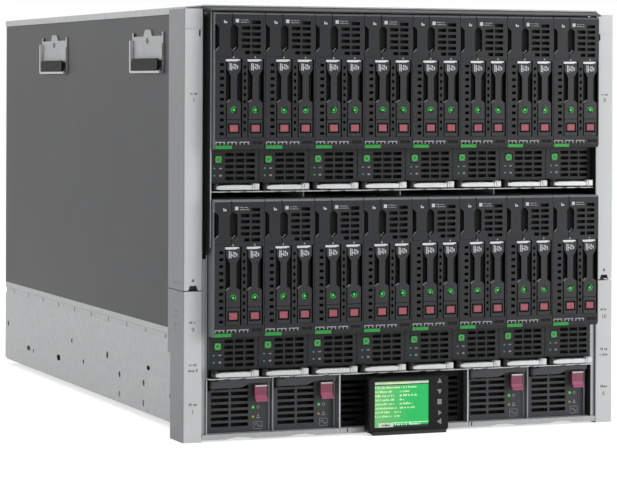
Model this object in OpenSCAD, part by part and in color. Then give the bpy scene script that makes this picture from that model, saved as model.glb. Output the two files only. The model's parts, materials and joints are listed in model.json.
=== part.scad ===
// Ten-unit blade enclosure, fully fitted at the front. Millimetres, +Z up, front towards -Y.
// The origin lies on the floor, under the middle of the bottom pan.

/* [Enclosure] */
// Depth from the front plane of the bezels to the rear edge of the side panels
body_d = 786; // [760:2:840]
// Height of the sheet bottom above the floor
body_lift = 6.4; // [4:0.1:10]
// Thickness of the side, top and bottom sheets
sheet_t = 1.2; // [1:0.1:1.6]
// Gap between the outermost bays and the side sheets
side_gap = 2; // [1:0.5:4]
// Height of the light lower side sheets, from the sheet bottom
lower_side_h = 100; // [90:1:110]
// Height of the cover flange that wraps over the side panels
cover_flange_h = 7; // [5:0.5:12]

/* [Blades] */
// Number of blade columns
columns = 8; // [8:1:8]
// Distance from one blade column to the next
blade_pitch = 54.6; // [54.4:0.1:57]
// Width of a blade
blade_w = 53.7; // [52:0.1:54]
// Height of a blade
blade_h = 181.6; // [178:0.2:184]
// Depth of a blade behind the front plane
blade_d = 512; // [480:2:520]
// How far the upper face of a blade stands in front of the bezels
blade_proud = 18; // [14:1:22]
// Height of the recessed lower face of a blade, above the lever
blade_foot_h = 34; // [30:1:38]
// Height of the ejector lever
lever_h = 6.4; // [5:0.2:7]
// Length of the ejector lever from its pin to its free end
lever_l = 46; // [42:1:48]
// Thickness of a blade's sheet walls
blade_t = 1; // [0.8:0.1:1.4]
// Distance between the two rows, where the shelf lies
row_gap = 8.6; // [7:0.1:10]

/* [Drive carriers] */
// Width of a drive carrier
carrier_w = 15; // [14:0.2:15.4]
// Height of a drive carrier
carrier_h = 79; // [76:1:80]
// Side of the square release button
button_s = 8.4; // [7:0.2:9]
// Diameter of the round status light
lamp_d = 7; // [5:0.5:8]

/* [Power supplies] */
// Width of a power supply
psu_w = 70; // [66:1:71]
// Height of a power supply
psu_h = 55; // [50:1:56]
// Depth of a power supply
psu_d = 420; // [380:10:440]
// Gap between neighbouring power supplies, where the cage wall stands
psu_gap = 2.6; // [2.4:0.1:4]
// Space under and over the power row
psu_margin = 0.5; // [0.4:0.1:0.9]
// How far the faces of the power supplies lie behind the front plane
psu_recess = 10; // [8:0.5:14]

/* [Display] */
// Width of the display
display_w = 91; // [84:1:94]
// Height of the display
display_h = 58.5; // [52:0.5:59]
// Thickness of the display
display_t = 11; // [9:0.5:13]
// Width of the lit screen
screen_w = 55; // [50:1:58]
// Height of the lit screen
screen_h = 46; // [42:1:47]

/* [Bezels and ears] */
// Height of the cover above the tops of the side bezels
bezel_drop = 4; // [2:0.5:8]
// Width of a bezel's front face
bezel_w = 20; // [18:0.5:22]
// Depth of a bezel's side wall
bezel_d = 50; // [44:1:56]
// Wall of the moulded bezels
bezel_t = 2; // [1.6:0.1:2.4]
// Height at which the upper and lower bezels meet
bezel_split_z = 154; // [140:1:165]
// Distance between the rack screw lines
rack_hole_w = 465.1; // [465:0.1:466]
// Height between the two rack screws of one ear
rack_hole_h = 311.15; // [266.7:44.45:355.6]
// Radius of a rack screw hole
rack_hole_r = 3.4; // [3:0.1:3.6]
// Thickness of the rack ears
ear_t = 1.6; // [1.5:0.1:2.5]

/* [Lift handles] */
// Width of a lift handle's bracket
handle_w = 108; // [100:1:114]
// Height of a lift handle's bracket
handle_h = 47; // [44:1:52]
// How far the grip stands off the side panel
handle_off = 14; // [13:0.5:18]

/* [Rear] */
// Front face of the midplane board
midplane_y = 524; // [522:1:540]
// Thickness of the midplane board
midplane_t = 5; // [3:0.5:6]
// Height of a fan module
fan_h = 84; // [80:1:86]
// Diameter of a fan duct
fan_bore = 74; // [66:1:78]
// Height of an interconnect module
switch_h = 28; // [26:0.5:29]
// Space between the midplane and the rear modules
plenum_d = 63; // [55:1:90]
// Thickness of the cage walls
cage_t = 1.5; // [1.2:0.1:2]

/* [Hidden] */
$fn = 32;
eps = 0.02;
seat = 0.3; // clearance of a piece that slides in its seat

// Places that follow from the sizes above
front_y = -body_d / 2;
bays_w = columns * blade_pitch;
half_w = bays_w / 2 + side_gap + sheet_t;
inner_w = half_w - sheet_t;
pan_z = body_lift + sheet_t;
psu_z = pan_z + psu_margin;
row_2_z = psu_z + psu_h + psu_margin + sheet_t + 0.3;
row_1_z = row_2_z + blade_h + row_gap;
body_top = row_1_z + blade_h + 1.4 + sheet_t + 5;
hood_h = body_top - row_1_z - blade_h - 1;
cover_z = body_top - sheet_t;
lower_side_z = body_lift + 2;
side_panel_z = body_lift + lower_side_h;
psu_pitch = psu_w + psu_gap;
middle_w = bays_w - 4 * psu_pitch;
bezel_in = half_w + 3;
bezel_out = bezel_in + bezel_w;
bezel_h = body_top - bezel_drop;
ear_y = 12;
rear_y0 = midplane_y + midplane_t + plenum_d;
ear_out = rack_hole_w / 2 + 8.75;
handle_y = [188, 555];
handle_z = body_top - 69;
grille_t = 2;

function row_z(i) = i < columns ? row_1_z : row_2_z;
function col_x(i) = (i % columns - columns / 2) * blade_pitch + (blade_pitch - blade_w) / 2;
function two(n) = n < 10 ? str("0", n) : str(n);
function blade_name(i) = str("blade_", two(i + 1));
function lever_name(i) = str("blade_lever_", two(i + 1));
psu_bays = [1, 2, 5, 6];
function psu_x(k) = k < 2 ? -bays_w / 2 + k * psu_pitch + psu_gap / 2
    : bays_w / 2 - (4 - k) * psu_pitch + psu_gap / 2;
function psu_name(k) = str("power_supply_", psu_bays[k]);
function psu_handle_name(k) = str("power_supply_handle_", psu_bays[k]);

// ---- helpers -------------------------------------------------------------

// Draws in front coordinates: y = 0 is the front plane of the bezels
module at_front() translate([0, front_y, 0]) children();

// An outline in x and z, extruded towards the rear from y0 to y1
module plate_y(y0, y1) {
    translate([0, y1, 0]) rotate([90, 0, 0]) linear_extrude(y1 - y0) children();
}

// An outline in y and z, extruded along x from x0 to x1
module plate_x(x0, x1) {
    translate([x0, 0, 0]) rotate([90, 0, 90]) linear_extrude(x1 - x0) children();
}

// A box from one corner to the other
module span_box(low, high) translate(low) cube(high - low);

// A rectangle with round corners, from its lower left corner
module round_rect(w, h, r) {
    translate([r, 0]) square([w - 2 * r, h]);
    translate([0, r]) square([w, h - 2 * r]);
    for (x = [r, w - r], z = [r, h - r]) translate([x, z]) circle(r);
}

// A slot with round ends about its middle
module slot(w, h) {
    r = min(w, h) / 2;
    long = max(w, h) - 2 * r;
    if (long == 0) circle(r);
    else rotate(w > h ? 0 : 90) {
        square([long, 2 * r], center = true);
        for (s = [-1, 1]) translate([s * long / 2, 0]) circle(r);
    }
}

// The same piece on both sides of the enclosure
module both_sides() {
    children();
    mirror([1, 0, 0]) children();
}

// A grid of rectangular cells, from its lower left corner
module cells(nx, nz, w, h, px, pz) {
    for (i = [0 : nx - 1], j = [0 : nz - 1]) translate([i * px, j * pz]) square([w, h]);
}

// ---- outer body ----------------------------------------------------------

pan_front = 4;
runner_w = 60;
runner_l = 660;
runner_x = [-135, 0, 135];

// The bottom sheet, with three pressed runners that the enclosure stands on
module base_pan() color("silver") at_front() {
    y0 = (body_d - runner_l) / 2;
    flange_h = 22;
    r = 14;
    difference() {
        union() {
            span_box([-inner_w, pan_front, body_lift], [inner_w, body_d - 2, pan_z]);
            for (x = runner_x) translate([x - runner_w / 2, y0, 0])
                linear_extrude(pan_z) round_rect(runner_w, runner_l, r);
            for (x = [-inner_w, inner_w - sheet_t])
                span_box([x, 60, body_lift], [x + sheet_t, body_d - 2, body_lift + flange_h]);
        }
        for (x = runner_x) translate([x - runner_w / 2 + sheet_t, y0 + sheet_t, sheet_t])
            linear_extrude(body_lift + 2)
                round_rect(runner_w - 2 * sheet_t, runner_l - 2 * sheet_t, r - sheet_t);
    }
}

// Pressed opening in a side panel for the two hooks and the plunger of a lift handle
module handle_slots() {
    for (y = handle_y) translate([y, handle_z]) {
        for (s = [-1, 1]) translate([s * (handle_w / 2 - 9), handle_h - 10]) square([5, 9], center = true);
        translate([0, handle_h - 12]) circle(3.2);
    }
}

// The dark upper side: a flat sheet with returned edges
module left_side_panel() color("dimgray") at_front() {
    ear_end = ear_y + ear_t;
    difference() {
        union() {
            plate_x(-half_w, -inner_w) translate([ear_end, side_panel_z])
                square([body_d - ear_end, body_top - side_panel_z - sheet_t]);
            span_box([-inner_w, body_d - sheet_t, side_panel_z],
                     [-inner_w + 6, body_d, cover_z]);
        }
        plate_x(-half_w - 1, -inner_w + 1) handle_slots();
    }
}

module right_side_panel() mirror([1, 0, 0]) left_side_panel();

// Depth of the pressed band, which the rear cage clears
joggle = sheet_t;

// Places of the holes in a lower side sheet: y, z from its lower edge, width, height
side_holes = [
    [772, 45, 7, 7], [672, 22, 17, 6], [650, 21, 5, 5], [537, 24, 15, 7], [480, 50, 6, 6],
    [432, 30, 6, 6], [337, 47, 8, 8], [290, 30, 7, 7], [290, 8, 7, 7], [202, 30, 7, 7],
    [202, 8, 7, 7], [186, 48, 11, 5], [110, 26, 7, 7]];

// The light lower side: one sheet with a joggled band, slits and fixing holes
module lower_side_sheet() {
    bottom = lower_side_z;
    band_z = side_panel_z - 15;
    top = side_panel_z;
    in = joggle;
    slit_n = 11;
    difference() {
        translate([0, body_d, 0]) rotate([90, 0, 0]) linear_extrude(body_d - ear_y - ear_t)
            polygon([
                [-half_w, bottom], [-half_w, band_z], [-half_w + in, band_z + 1.5],
                [-half_w + in, top - 7], [-half_w, top - 6], [-half_w, top],
                [-half_w + sheet_t, top], [-half_w + sheet_t, top - 6 - 0.6],
                [-half_w + in + sheet_t, top - 7 - 0.6],
                [-half_w + in + sheet_t, band_z + 0.6], [-half_w + sheet_t, band_z - 0.8],
                [-half_w + sheet_t, bottom]]);
        for (h = side_holes) plate_x(-half_w - 1, -inner_w + 1)
            translate([h[0], bottom + h[1]]) slot(h[2], h[3]);
        for (i = [0 : slit_n - 1]) plate_x(-half_w - 1, -half_w + in + sheet_t + 1)
            translate([60 + i * (body_d - 100) / (slit_n - 1), band_z + 2.5]) square([2.5, 4.5]);
    }
}

module lower_side_sheets() color("lightgray") at_front() both_sides() lower_side_sheet();

// The top sheet, with flanges that wrap over the side panels and a low pressed field
module top_cover() color("lightgray") at_front() {
    outer = half_w + sheet_t;
    difference() {
        union() {
            span_box([-outer, 2, cover_z], [outer, body_d, body_top]);
            for (x = [-outer, half_w]) span_box([x, 60, body_top - cover_flange_h],
                                                [x + sheet_t, body_d, body_top]);
        }
        for (x = [-150 : 75 : 150], y = [20 : 40 : 140])
            translate([x, rear_y0 + y, cover_z - 1]) linear_extrude(sheet_t + 2) slot(50, 6);
    }
}

// ---- front trim ----------------------------------------------------------

cheek_proud = 10;
flange_top_z = 190;

sill_z = body_lift - 4.4;
sill_h = pan_z - sill_z - 0.2;
sill_t = 1.4;

// Wavy lower edge of the sill, one scallop under each power supply
module sill_outline(x0, x1) {
    scallop_r = 60;
    rise = 1.8;
    difference() {
        translate([x0, sill_z]) square([x1 - x0, sill_h]);
        for (i = [0, 1]) translate([x0 + (x1 - x0) * (0.27 + 0.46 * i), sill_z + rise - scallop_r])
            circle(scallop_r);
    }
}

// The sloping hood over the upper blades, the side cheeks and flanges, and the sill
module front_frame() color("gainsboro") at_front() {
    hood_z = body_top - hood_h;
    cheek_in = bays_w / 2 + 0.6;
    cheek_out = cheek_in + 1.2;
    difference() {
        intersection() {
            translate([0, 0, hood_z]) linear_extrude(hood_h) polygon([
                [-bezel_in + 0.4, 2], [-bezel_in + 0.4, 0], [-cheek_out, -blade_proud],
                [cheek_out, -blade_proud], [bezel_in - 0.4, 0], [bezel_in - 0.4, 2]]);
            plate_x(-bezel_in, bezel_in) polygon([
                [-blade_proud, hood_z], [-blade_proud, hood_z + 1.2], [-0.6, body_top - 1.4],
                [-0.6, body_top], [2, body_top], [2, hood_z]]);
        }
        plate_x(-cheek_in, cheek_in) polygon([
            [-blade_proud + 3, hood_z - 1], [-blade_proud + 3, hood_z + 0.6],
            [0.4, body_top - 2.6], [3, body_top - 2.6], [3, hood_z - 1]]);
    }
    both_sides() {
        plate_x(-cheek_out, -cheek_in) polygon([
            [2, row_2_z - 2], [pan_front + 8, row_2_z - 2], [pan_front + 8, hood_z],
            [-cheek_proud, hood_z], [-cheek_proud, flange_top_z + 8], [0, flange_top_z],
            [2, flange_top_z]]);
        span_box([-bezel_in + 0.4, 3, pan_z - eps], [-cheek_out + eps, 4.4, flange_top_z - 4]);
        span_box([-cheek_out, 0.4, pan_z - eps], [-cheek_in, pan_front + 8, row_2_z - 2 + eps]);
    }
    plate_y(0, sill_t) both_sides() sill_outline(-bezel_in + 0.4, -middle_w / 2 - 1);
    plate_y(0, sill_t) translate([-middle_w / 2, sill_z]) square([middle_w, sill_h]);
    span_box([-bezel_in + 0.4, sill_t - eps, body_lift], [bezel_in - 0.4, pan_front, pan_z]);
}

// ---- bezels and ears -----------------------------------------------------

bezel_gap = 1;
notch_w = 11;
notch_h = 5;

// U-shaped cross-section of a bezel in x and y: front, outer wall and short inner wall
module bezel_section(depth) {
    r = 1.4;
    difference() {
        translate([-bezel_out, 0]) union() {
            translate([0, r]) square([bezel_w, depth - r]);
            translate([r, 0]) square([bezel_w - 2 * r, depth]);
            for (x = [r, bezel_w - r]) translate([x, r]) circle(r);
        }
        translate([-bezel_out + bezel_t, bezel_t]) square([bezel_w - 2 * bezel_t, depth]);
        translate([-bezel_in - bezel_t - 1, ear_y - 0.6]) square([bezel_t + 2, depth]);
    }
}

// Rib across the bezel's hollow, which stops against the ear
module bezel_rib(z) {
    span_box([-bezel_out + bezel_t - eps, bezel_t - eps, z],
             [-bezel_in - bezel_t + eps, ear_y, z + 1.6]);
}

module left_bezel() color("silver") at_front() {
    step_z = 88;
    step_d = 8;
    lower_top = bezel_split_z - bezel_gap / 2;
    upper_z = bezel_split_z + bezel_gap / 2;
    mid_x = -bezel_in - bezel_w / 2;
    difference() {
        union() {
            linear_extrude(step_z) bezel_section(bezel_d - step_d);
            translate([0, 0, step_z - eps]) linear_extrude(lower_top - step_z + eps)
                bezel_section(bezel_d);
            for (z = [0, lower_top - 1.6, 60]) bezel_rib(z);
        }
        for (z = [112, 126]) plate_x(-bezel_out - 1, -bezel_out + 0.5)
            difference() {
                translate([20, z]) square([9, 7]);
                translate([20.7, z + 0.7]) square([7.6, 5.6]);
            }
    }
    difference() {
        union() {
            translate([0, 0, upper_z]) linear_extrude(bezel_h - upper_z) bezel_section(bezel_d);
            for (z = [upper_z + notch_h + 1, (upper_z + bezel_h) / 2, bezel_h - 1.6]) bezel_rib(z);
        }
        plate_y(-1, bezel_t + 1) polygon([
            [mid_x - notch_w / 2, upper_z - 1], [mid_x - notch_w / 2 + 2, upper_z + notch_h],
            [mid_x + notch_w / 2 - 2, upper_z + notch_h], [mid_x + notch_w / 2, upper_z - 1]]);
        plate_y(-1, 0.5) translate([-bezel_out - 1, bezel_h - 21]) square([bezel_w + 2, 0.7]);
        plate_y(-1, bezel_t + 1) translate([-bezel_in - 4.5, bezel_h - 28]) square([1.6, 6.5]);
        plate_x(-bezel_out - 1, -bezel_out + 0.5) translate([6, upper_z + 7]) square([28, 0.8]);
    }
}

module right_bezel() mirror([1, 0, 0]) left_bezel();

// Angle with the rack screw holes, fixed to the side
module rack_ear() {
    ear_z = 4;
    ear_top = body_top - cover_flange_h - 2;
    rack_mid_z = ear_z + (ear_top - ear_z) / 2;
    leg_d = 40;
    difference() {
        translate([0, 0, ear_z]) linear_extrude(ear_top - ear_z) {
            translate([-ear_out, ear_y]) square([ear_out - inner_w, ear_t]);
            translate([-half_w - ear_t, ear_y]) square([ear_t, leg_d]);
        }
        for (s = [-1, 1]) translate([-rack_hole_w / 2, ear_y - 1, rack_mid_z + s * rack_hole_h / 2])
            rotate([-90, 0, 0]) cylinder(h = ear_t + 2, r = rack_hole_r);
    }
}

module rack_ears() color("darkgray") at_front() both_sides() rack_ear();

// ---- bays ----------------------------------------------------------------

// One shelf sheet with a notched front edge and down-turned stiffeners
module shelf(z, stiffener_h = 0) {
    tab_w = 6;
    translate([0, 0, z]) linear_extrude(sheet_t) difference() {
        translate([-inner_w, -5]) square([2 * inner_w, midplane_y + 5]);
        for (i = [0 : columns - 1]) {
            x = -bays_w / 2 + i * blade_pitch;
            translate([x + 16, -6]) square([tab_w, 4]);
            translate([x + blade_pitch - 16 - tab_w, -6]) square([tab_w, 4]);
        }
        for (s = [-1, 1]) translate([s * (bays_w / 2 + 3.8) - 3.5, -6]) square([7, 19]);
    }
    if (stiffener_h > 0) for (i = [2 : 2 : columns - 2]) {
        x = -bays_w / 2 + i * blade_pitch;
        span_box([x - 0.6, 14, z - stiffener_h], [x + 0.6, midplane_y, z + eps]);
    }
}

module bay_shelves() color("white") at_front() {
    shelf(row_1_z - seat - sheet_t, row_gap - 2 * seat - sheet_t - 0.4);
    shelf(row_2_z - seat - sheet_t);
}

// Blank cover of an empty power bay, with pressed louvres
module bay_blank(x0, x1) {
    w = x1 - x0;
    z0 = pan_z;
    h = psu_h + 2 * psu_margin;
    difference() {
        span_box([x0, psu_recess, z0], [x1, psu_recess + 2, z0 + h]);
        plate_y(psu_recess - 1, psu_recess + 3) translate([x0 + 5, z0 + 6])
            cells(1, 7, w - 12, 3.6, 1, 6.4);
    }
}

// Walls between the power bays and the two blank covers of the middle bays
module power_cage() color("gray") at_front() {
    z1 = row_2_z - seat - sheet_t;
    wall = 1.4;
    wall_x = [for (k = [1, 2]) bays_w / 2 - k * psu_pitch];
    for (x = wall_x, s = [-1, 1]) span_box([s * x - wall / 2, x == wall_x[1] ? 0.6 : 5, pan_z],
                                           [s * x + wall / 2, psu_d + 40, z1]);
    span_box([-wall / 2, psu_recess, pan_z], [wall / 2, psu_d + 40, z1]);
    bay_blank(-middle_w / 2 + wall / 2 - eps, -wall / 2 + eps);
    bay_blank(wall / 2 - eps, middle_w / 2 - wall / 2 + eps);
    difference() {
        span_box([-inner_w + sheet_t + 0.1, psu_d + 40, pan_z],
                 [inner_w - sheet_t - 0.1, psu_d + 44, z1]);
        for (k = [0 : 3]) plate_y(psu_d + 39, psu_d + 45)
            translate([psu_x(k) + 8, psu_z + 8]) round_rect(psu_w - 16, psu_h - 16, 3);
    }
}

// ---- blades --------------------------------------------------------------

carrier_x = [12.4, 35.8];
pin_r = 1.6;
pin_gap = 0.06;
pin_x = 5.2;
pin_y = -4.6;
lever_z = 1;
plug_z = [20, 44]; // lower edges of a blade's two rear connectors
vent_z = 76;

function from_top(d) = blade_h - d;
carrier_z = from_top(47.5) - carrier_h;

// A tall finger recess with its corners cut off
module finger_cut(w, h) {
    c = 3;
    polygon([[-w / 2, -h / 2 + c], [-w / 2 + c, -h / 2], [w / 2 - c, -h / 2], [w / 2, -h / 2 + c],
             [w / 2, h / 2 - c], [w / 2 - c, h / 2], [-w / 2 + c, h / 2], [-w / 2, h / 2 - c]]);
}

cut_h = 26.3;
cut_mid = 25.7;
cell_w = 9.4;
cell_h = 3.5;
cell_x = [28.2, 39.5];

// Everything that pierces a blade's upper face: finger recesses, vent cells and small holes
module face_holes() {
    for (x = [0, 20.3]) translate([x, from_top(cut_mid)]) finger_cut(8.4, cut_h);
    translate([cell_x[1], from_top(8.3) - cell_h]) square([cell_w, cell_h]);
    for (j = [0 : 3], x = cell_x) translate([x, from_top(14.1 + 6.2 * j) - cell_h])
        square([cell_w, cell_h]);
    translate([cell_x[0] + 3.6, from_top(38.9) - cell_h]) square([cell_w - 3.6, cell_h]);
    translate([cell_x[1], from_top(38.9) - cell_h]) square([cell_w, cell_h]);
    translate([5, from_top(54.6 + 7 * 10)]) cells(1, 11, 4.4, 3, 1, 7);
    translate([30.6, from_top(57 + 7.05 * 9)]) cells(1, 10, 2.5, 3.2, 1, 7.05);
}

// Openings round the drive carriers, a little wider on their right
module carrier_pockets() {
    for (x = carrier_x) translate([x - 0.9, carrier_z - seat])
        square([carrier_w + 2.6, carrier_h + 2 * seat]);
}

// Proud upper face: skin with vents, side walls and the frame of the two drive pockets
module blade_face() {
    z0 = lever_z + lever_h + 1.2 + blade_foot_h;
    h = blade_h - z0;
    y0 = -blade_proud;
    skin = 2.4;
    difference() {
        plate_x(0, blade_w) polygon([
            [y0, z0 + 3.2], [y0, blade_h - 2], [y0 + 1.6, blade_h], [y0 + skin, blade_h],
            [y0 + skin, z0], [y0 + 2, z0]]);
        plate_y(y0 - 1, y0 + skin + 1) {
            face_holes();
            carrier_pockets();
        }
        plate_y(y0 - 1, y0 + 0.8) {
            translate([17.3, from_top(13)]) square([1.6, 14]);
            translate([17.3, from_top(44.5)]) square([1.6, 5.6]);
            translate([0, from_top(45.1)]) square([18.9, 0.6]);
        }
    }
    plate_y(y0 + skin - eps, eps) difference() {
        translate([0, z0]) square([blade_w, h]);
        difference() {
            translate([blade_t, z0 + blade_t]) square([blade_w - 2 * blade_t, h - 2 * blade_t]);
            for (x = carrier_x) translate([x - 1.7, carrier_z - seat - 1])
                square([carrier_w + 4.2, carrier_h + 2 * seat + 2]);
        }
        carrier_pockets();
    }
}

// Sheet-metal sled: closed box behind the faces, with the lower face and the lever's tabs
module blade_sled() {
    foot_z = lever_z + lever_h + 1.2;
    foot_top = foot_z + blade_foot_h;
    difference() {
        span_box([0, 0, 0], [blade_w, blade_d, blade_h]);
        span_box([blade_t, grille_t, blade_t], [blade_w - blade_t, blade_d - 2, blade_h - blade_t]);
        span_box([-1, -1, -1], [blade_w + 1, 1.2, foot_z - 0.8]);
        plate_y(-1, grille_t + 1) translate([blade_t + 1, foot_top + 1])
            square([blade_w - 2 * blade_t - 2, blade_h - foot_top - blade_t - 2]);
        plate_y(-1, grille_t + 1) translate([17.3, foot_z + 2.3]) cells(3, 5, 9.5, 3.5, 11.3, 6.05);
        plate_y(-1, 0.6) difference() {
            translate([5.4, foot_z + 18.6]) square([9.4, 9.4]);
            translate([6.2, foot_z + 19.4]) square([7.8, 7.8]);
        }
        for (z = [5.9, 13.2]) plate_y(-1, 0.6) translate([4.9, foot_z + z]) square([2, 2]);
        plate_y(blade_d - 3, blade_d + 1) translate([8, vent_z]) cells(3, 5, 10, 12, 13, 18);
    }
    for (z = plug_z) span_box([12, blade_d - eps, z], [42, blade_d + 8, z + 16]);
    span_box([1, pin_y - 3.4, 0], [pin_x + 4, 1.2 + eps, lever_z - 0.3]);
    span_box([1, pin_y - 3.4, lever_z + lever_h + 0.3], [pin_x + 4, 0.5, foot_z]);
    translate([pin_x, pin_y, 0.3]) cylinder(h = foot_z - 0.6, r = pin_r);
}

// A push button with bevelled edges, w wide and h high, standing d in front of y
module push_button(y, w, h, d) {
    b = 1;
    intersection() {
        translate([0, y, 0]) linear_extrude(h)
            polygon([[0, 2], [0, 0], [b, -d], [w - b, -d], [w, 0], [w, 2]]);
        plate_x(0, w) polygon([[y + 2, 0], [y, 0], [y - d, b], [y - d, h - b], [y, h], [y + 2, h]]);
    }
}

// Hot-plug drive carrier: head, stem between two grooves, body with lamp and button
module drive_carrier() {
    y0 = -blade_proud - 0.5;
    stem_w = 6.8;
    mid = carrier_w / 2;
    groove = mid - stem_w / 2;
    neck_z = carrier_h - 16.9;
    shoulder_z = carrier_h - 41;
    lamp_z = carrier_h - 51.5;
    button_z = carrier_h - 74.4;
    button_w = button_s + 2;
    difference() {
        span_box([0, y0, 0], [carrier_w, 40, carrier_h]);
        for (s = [0, 1]) translate([s ? carrier_w : 0, 0, 0]) mirror([s, 0, 0])
            plate_y(y0 - 1, y0 + 6) polygon([
                [-1, shoulder_z - 3.7], [0, shoulder_z - 3], [groove, shoulder_z], [groove, neck_z],
                [0, neck_z + 6.7], [-1, neck_z + 8.4]]);
        span_box([-1, y0 - 1, carrier_h - 61.6], [carrier_w + 1, y0 + 0.6, carrier_h - 61]);
        translate([mid, y0 - 1, lamp_z]) rotate([-90, 0, 0]) cylinder(h = 1.5, d = lamp_d);
        plate_y(y0 - 1, y0 + 2) translate([mid - button_w / 2 - 0.9, button_z - 0.9])
            square([button_w + 1.8, button_s + 1.8]);
    }
    translate([mid - button_w / 2, 0, button_z]) push_button(y0 + 0.4, button_w, button_s, 1);
}

module blade(i) color("#2c2c2e") at_front() translate([col_x(i), 0, row_z(i)]) {
    blade_face();
    blade_sled();
    for (x = carrier_x) translate([x, 0, carrier_z]) drive_carrier();
}

// Ejector lever: tapered bar about a vertical pin, with a release block at its free end
module blade_lever(i) color("lightgray") at_front() translate([col_x(i), 0, row_z(i)]) {
    x1 = pin_x + lever_l;
    eye_r = 3.8;
    difference() {
        translate([0, 0, lever_z]) linear_extrude(lever_h) union() {
            translate([pin_x, pin_y]) circle(eye_r);
            polygon([[pin_x, pin_y - eye_r], [x1 - 8, pin_y - 5.4], [x1, pin_y - 5.4],
                     [x1, pin_y + 1.6], [x1 - 8, pin_y + 1.6], [pin_x, pin_y + eye_r]]);
        }
        translate([pin_x, pin_y, 0]) cylinder(h = lever_z + lever_h + 1, r = pin_r + pin_gap);
        span_box([x1 - 7.4, pin_y - 7, lever_z - 1], [x1 - 6.8, pin_y - 4.6, lever_z + lever_h + 1]);
        span_box([16, pin_y - 1.2, lever_z + 1.4], [x1 - 12, pin_y + 8, lever_z + lever_h - 1.4]);
    }
    span_box([x1 - 6, pin_y - 6.2, lever_z + 1.2],
             [x1 - 1, pin_y - 5.4 + eps, lever_z + lever_h - 1.2]);
    span_box([pin_x + lever_l / 2 - 3, pin_y - 4.6, lever_z + lever_h - eps],
             [pin_x + lever_l / 2 + 3, pin_y - 3, lever_z + lever_h + 0.8]);
}

// ---- power supplies ------------------------------------------------------

psu_pin_x = 5;
psu_pin_y = -4.6;
bar_z = psu_h - 9.4;
bar_h = 7.6;
latch_w = 13;
latch_x = psu_w - latch_w - 6;
latch_z = psu_h - 24;
latch_h = 16.6;

// Case with a pierced face, status lamps, hinge lugs and the release latch
module power_supply(k) color("#4a4a4a") at_front() translate([psu_x(k), psu_recess, psu_z]) {
    lamp_x = psu_w - 18.4;
    difference() {
        span_box([0, 0, 0], [psu_w, psu_d, psu_h]);
        span_box([sheet_t, 3, sheet_t], [psu_w - sheet_t, psu_d - 2, psu_h - sheet_t]);
        plate_y(-1, 4) translate([5.8, 5.4]) cells(2, 7, 19, 3.8, 21.5, 6.35);
        plate_y(-1, 0.8) for (z = [24.2, 14.5]) translate([lamp_x, z]) circle(1.5);
        plate_y(-1, 0.5) translate([lamp_x + 0.6, 1.8]) difference() {
            round_rect(9.6, 7.8, 2);
            translate([0.8, 0.8]) round_rect(8, 6.2, 1.4);
        }
        plate_y(psu_d - 3, psu_d + 1) translate([8, 8]) cells(5, 5, 8, 5, 11, 8);
        span_box([psu_w - 2.7, -1, -1], [psu_w - 2.2, 0.8, psu_h + 1]);
    }
    for (z = [bar_z - 2, bar_z + bar_h + 0.3]) translate([0, 0, z]) linear_extrude(1.5) {
        translate([psu_pin_x, psu_pin_y]) circle(3.6);
        translate([psu_pin_x - 3.6, psu_pin_y]) square([7.2, -psu_pin_y + eps]);
    }
    translate([psu_pin_x, psu_pin_y, bar_z - 1]) cylinder(h = bar_h + 2, r = pin_r);
    translate([latch_x, 0, latch_z]) {
        span_box([2, -6, 4], [latch_w - 2, eps, latch_h - 2]);
        plate_x(0, latch_w) polygon([
            [-3, latch_h], [-8, latch_h], [-8, latch_h - 1.2], [-7, latch_h - 1.8], [-7, 6],
            [-8.2, 3], [-10.4, 0.8], [-10.4, 0], [-7.4, 0.6], [-5.4, 2.8], [-3, 6]]);
    }
}

// Swinging handle: bar with a stepped lower edge about a pin at its left end
module power_supply_handle(k) color("gray") at_front() translate([psu_x(k), psu_recess, psu_z]) {
    x1 = psu_w - 1.6;
    top = psu_h - 0.4;
    low = bar_z + 4.4;
    difference() {
        union() {
            plate_y(psu_pin_y - 3.4, psu_pin_y + 3) polygon([
                [psu_pin_x, bar_z], [33, bar_z], [36, bar_z + 0.4], [40, bar_z + 2],
                [44, low - 0.4], [47, low], [x1, low], [x1, top], [psu_pin_x + 6, top],
                [psu_pin_x + 6, bar_z + bar_h], [psu_pin_x, bar_z + bar_h]]);
            translate([psu_pin_x, psu_pin_y, bar_z]) cylinder(h = bar_h, r = 3.4);
        }
        translate([psu_pin_x, psu_pin_y, bar_z - 1]) cylinder(h = bar_h + 2, r = pin_r + pin_gap);
        span_box([psu_pin_x + 6, psu_pin_y - 1.4, bar_z - 1], [x1 - 2, psu_pin_y + 4, top - 1.6]);
    }
}

// ---- display -------------------------------------------------------------

display_x = -1.5 - display_w / 2;
display_z = 1.8;
display_y1 = -3.4;
hinge_z = display_z + display_h - 5;
hinge_y = display_y1 - display_t + 6.6;
arm_w = 6;
arm_r = 3.8;
arm_x = [16, display_w - 16];
hinge_r = 2;

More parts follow.
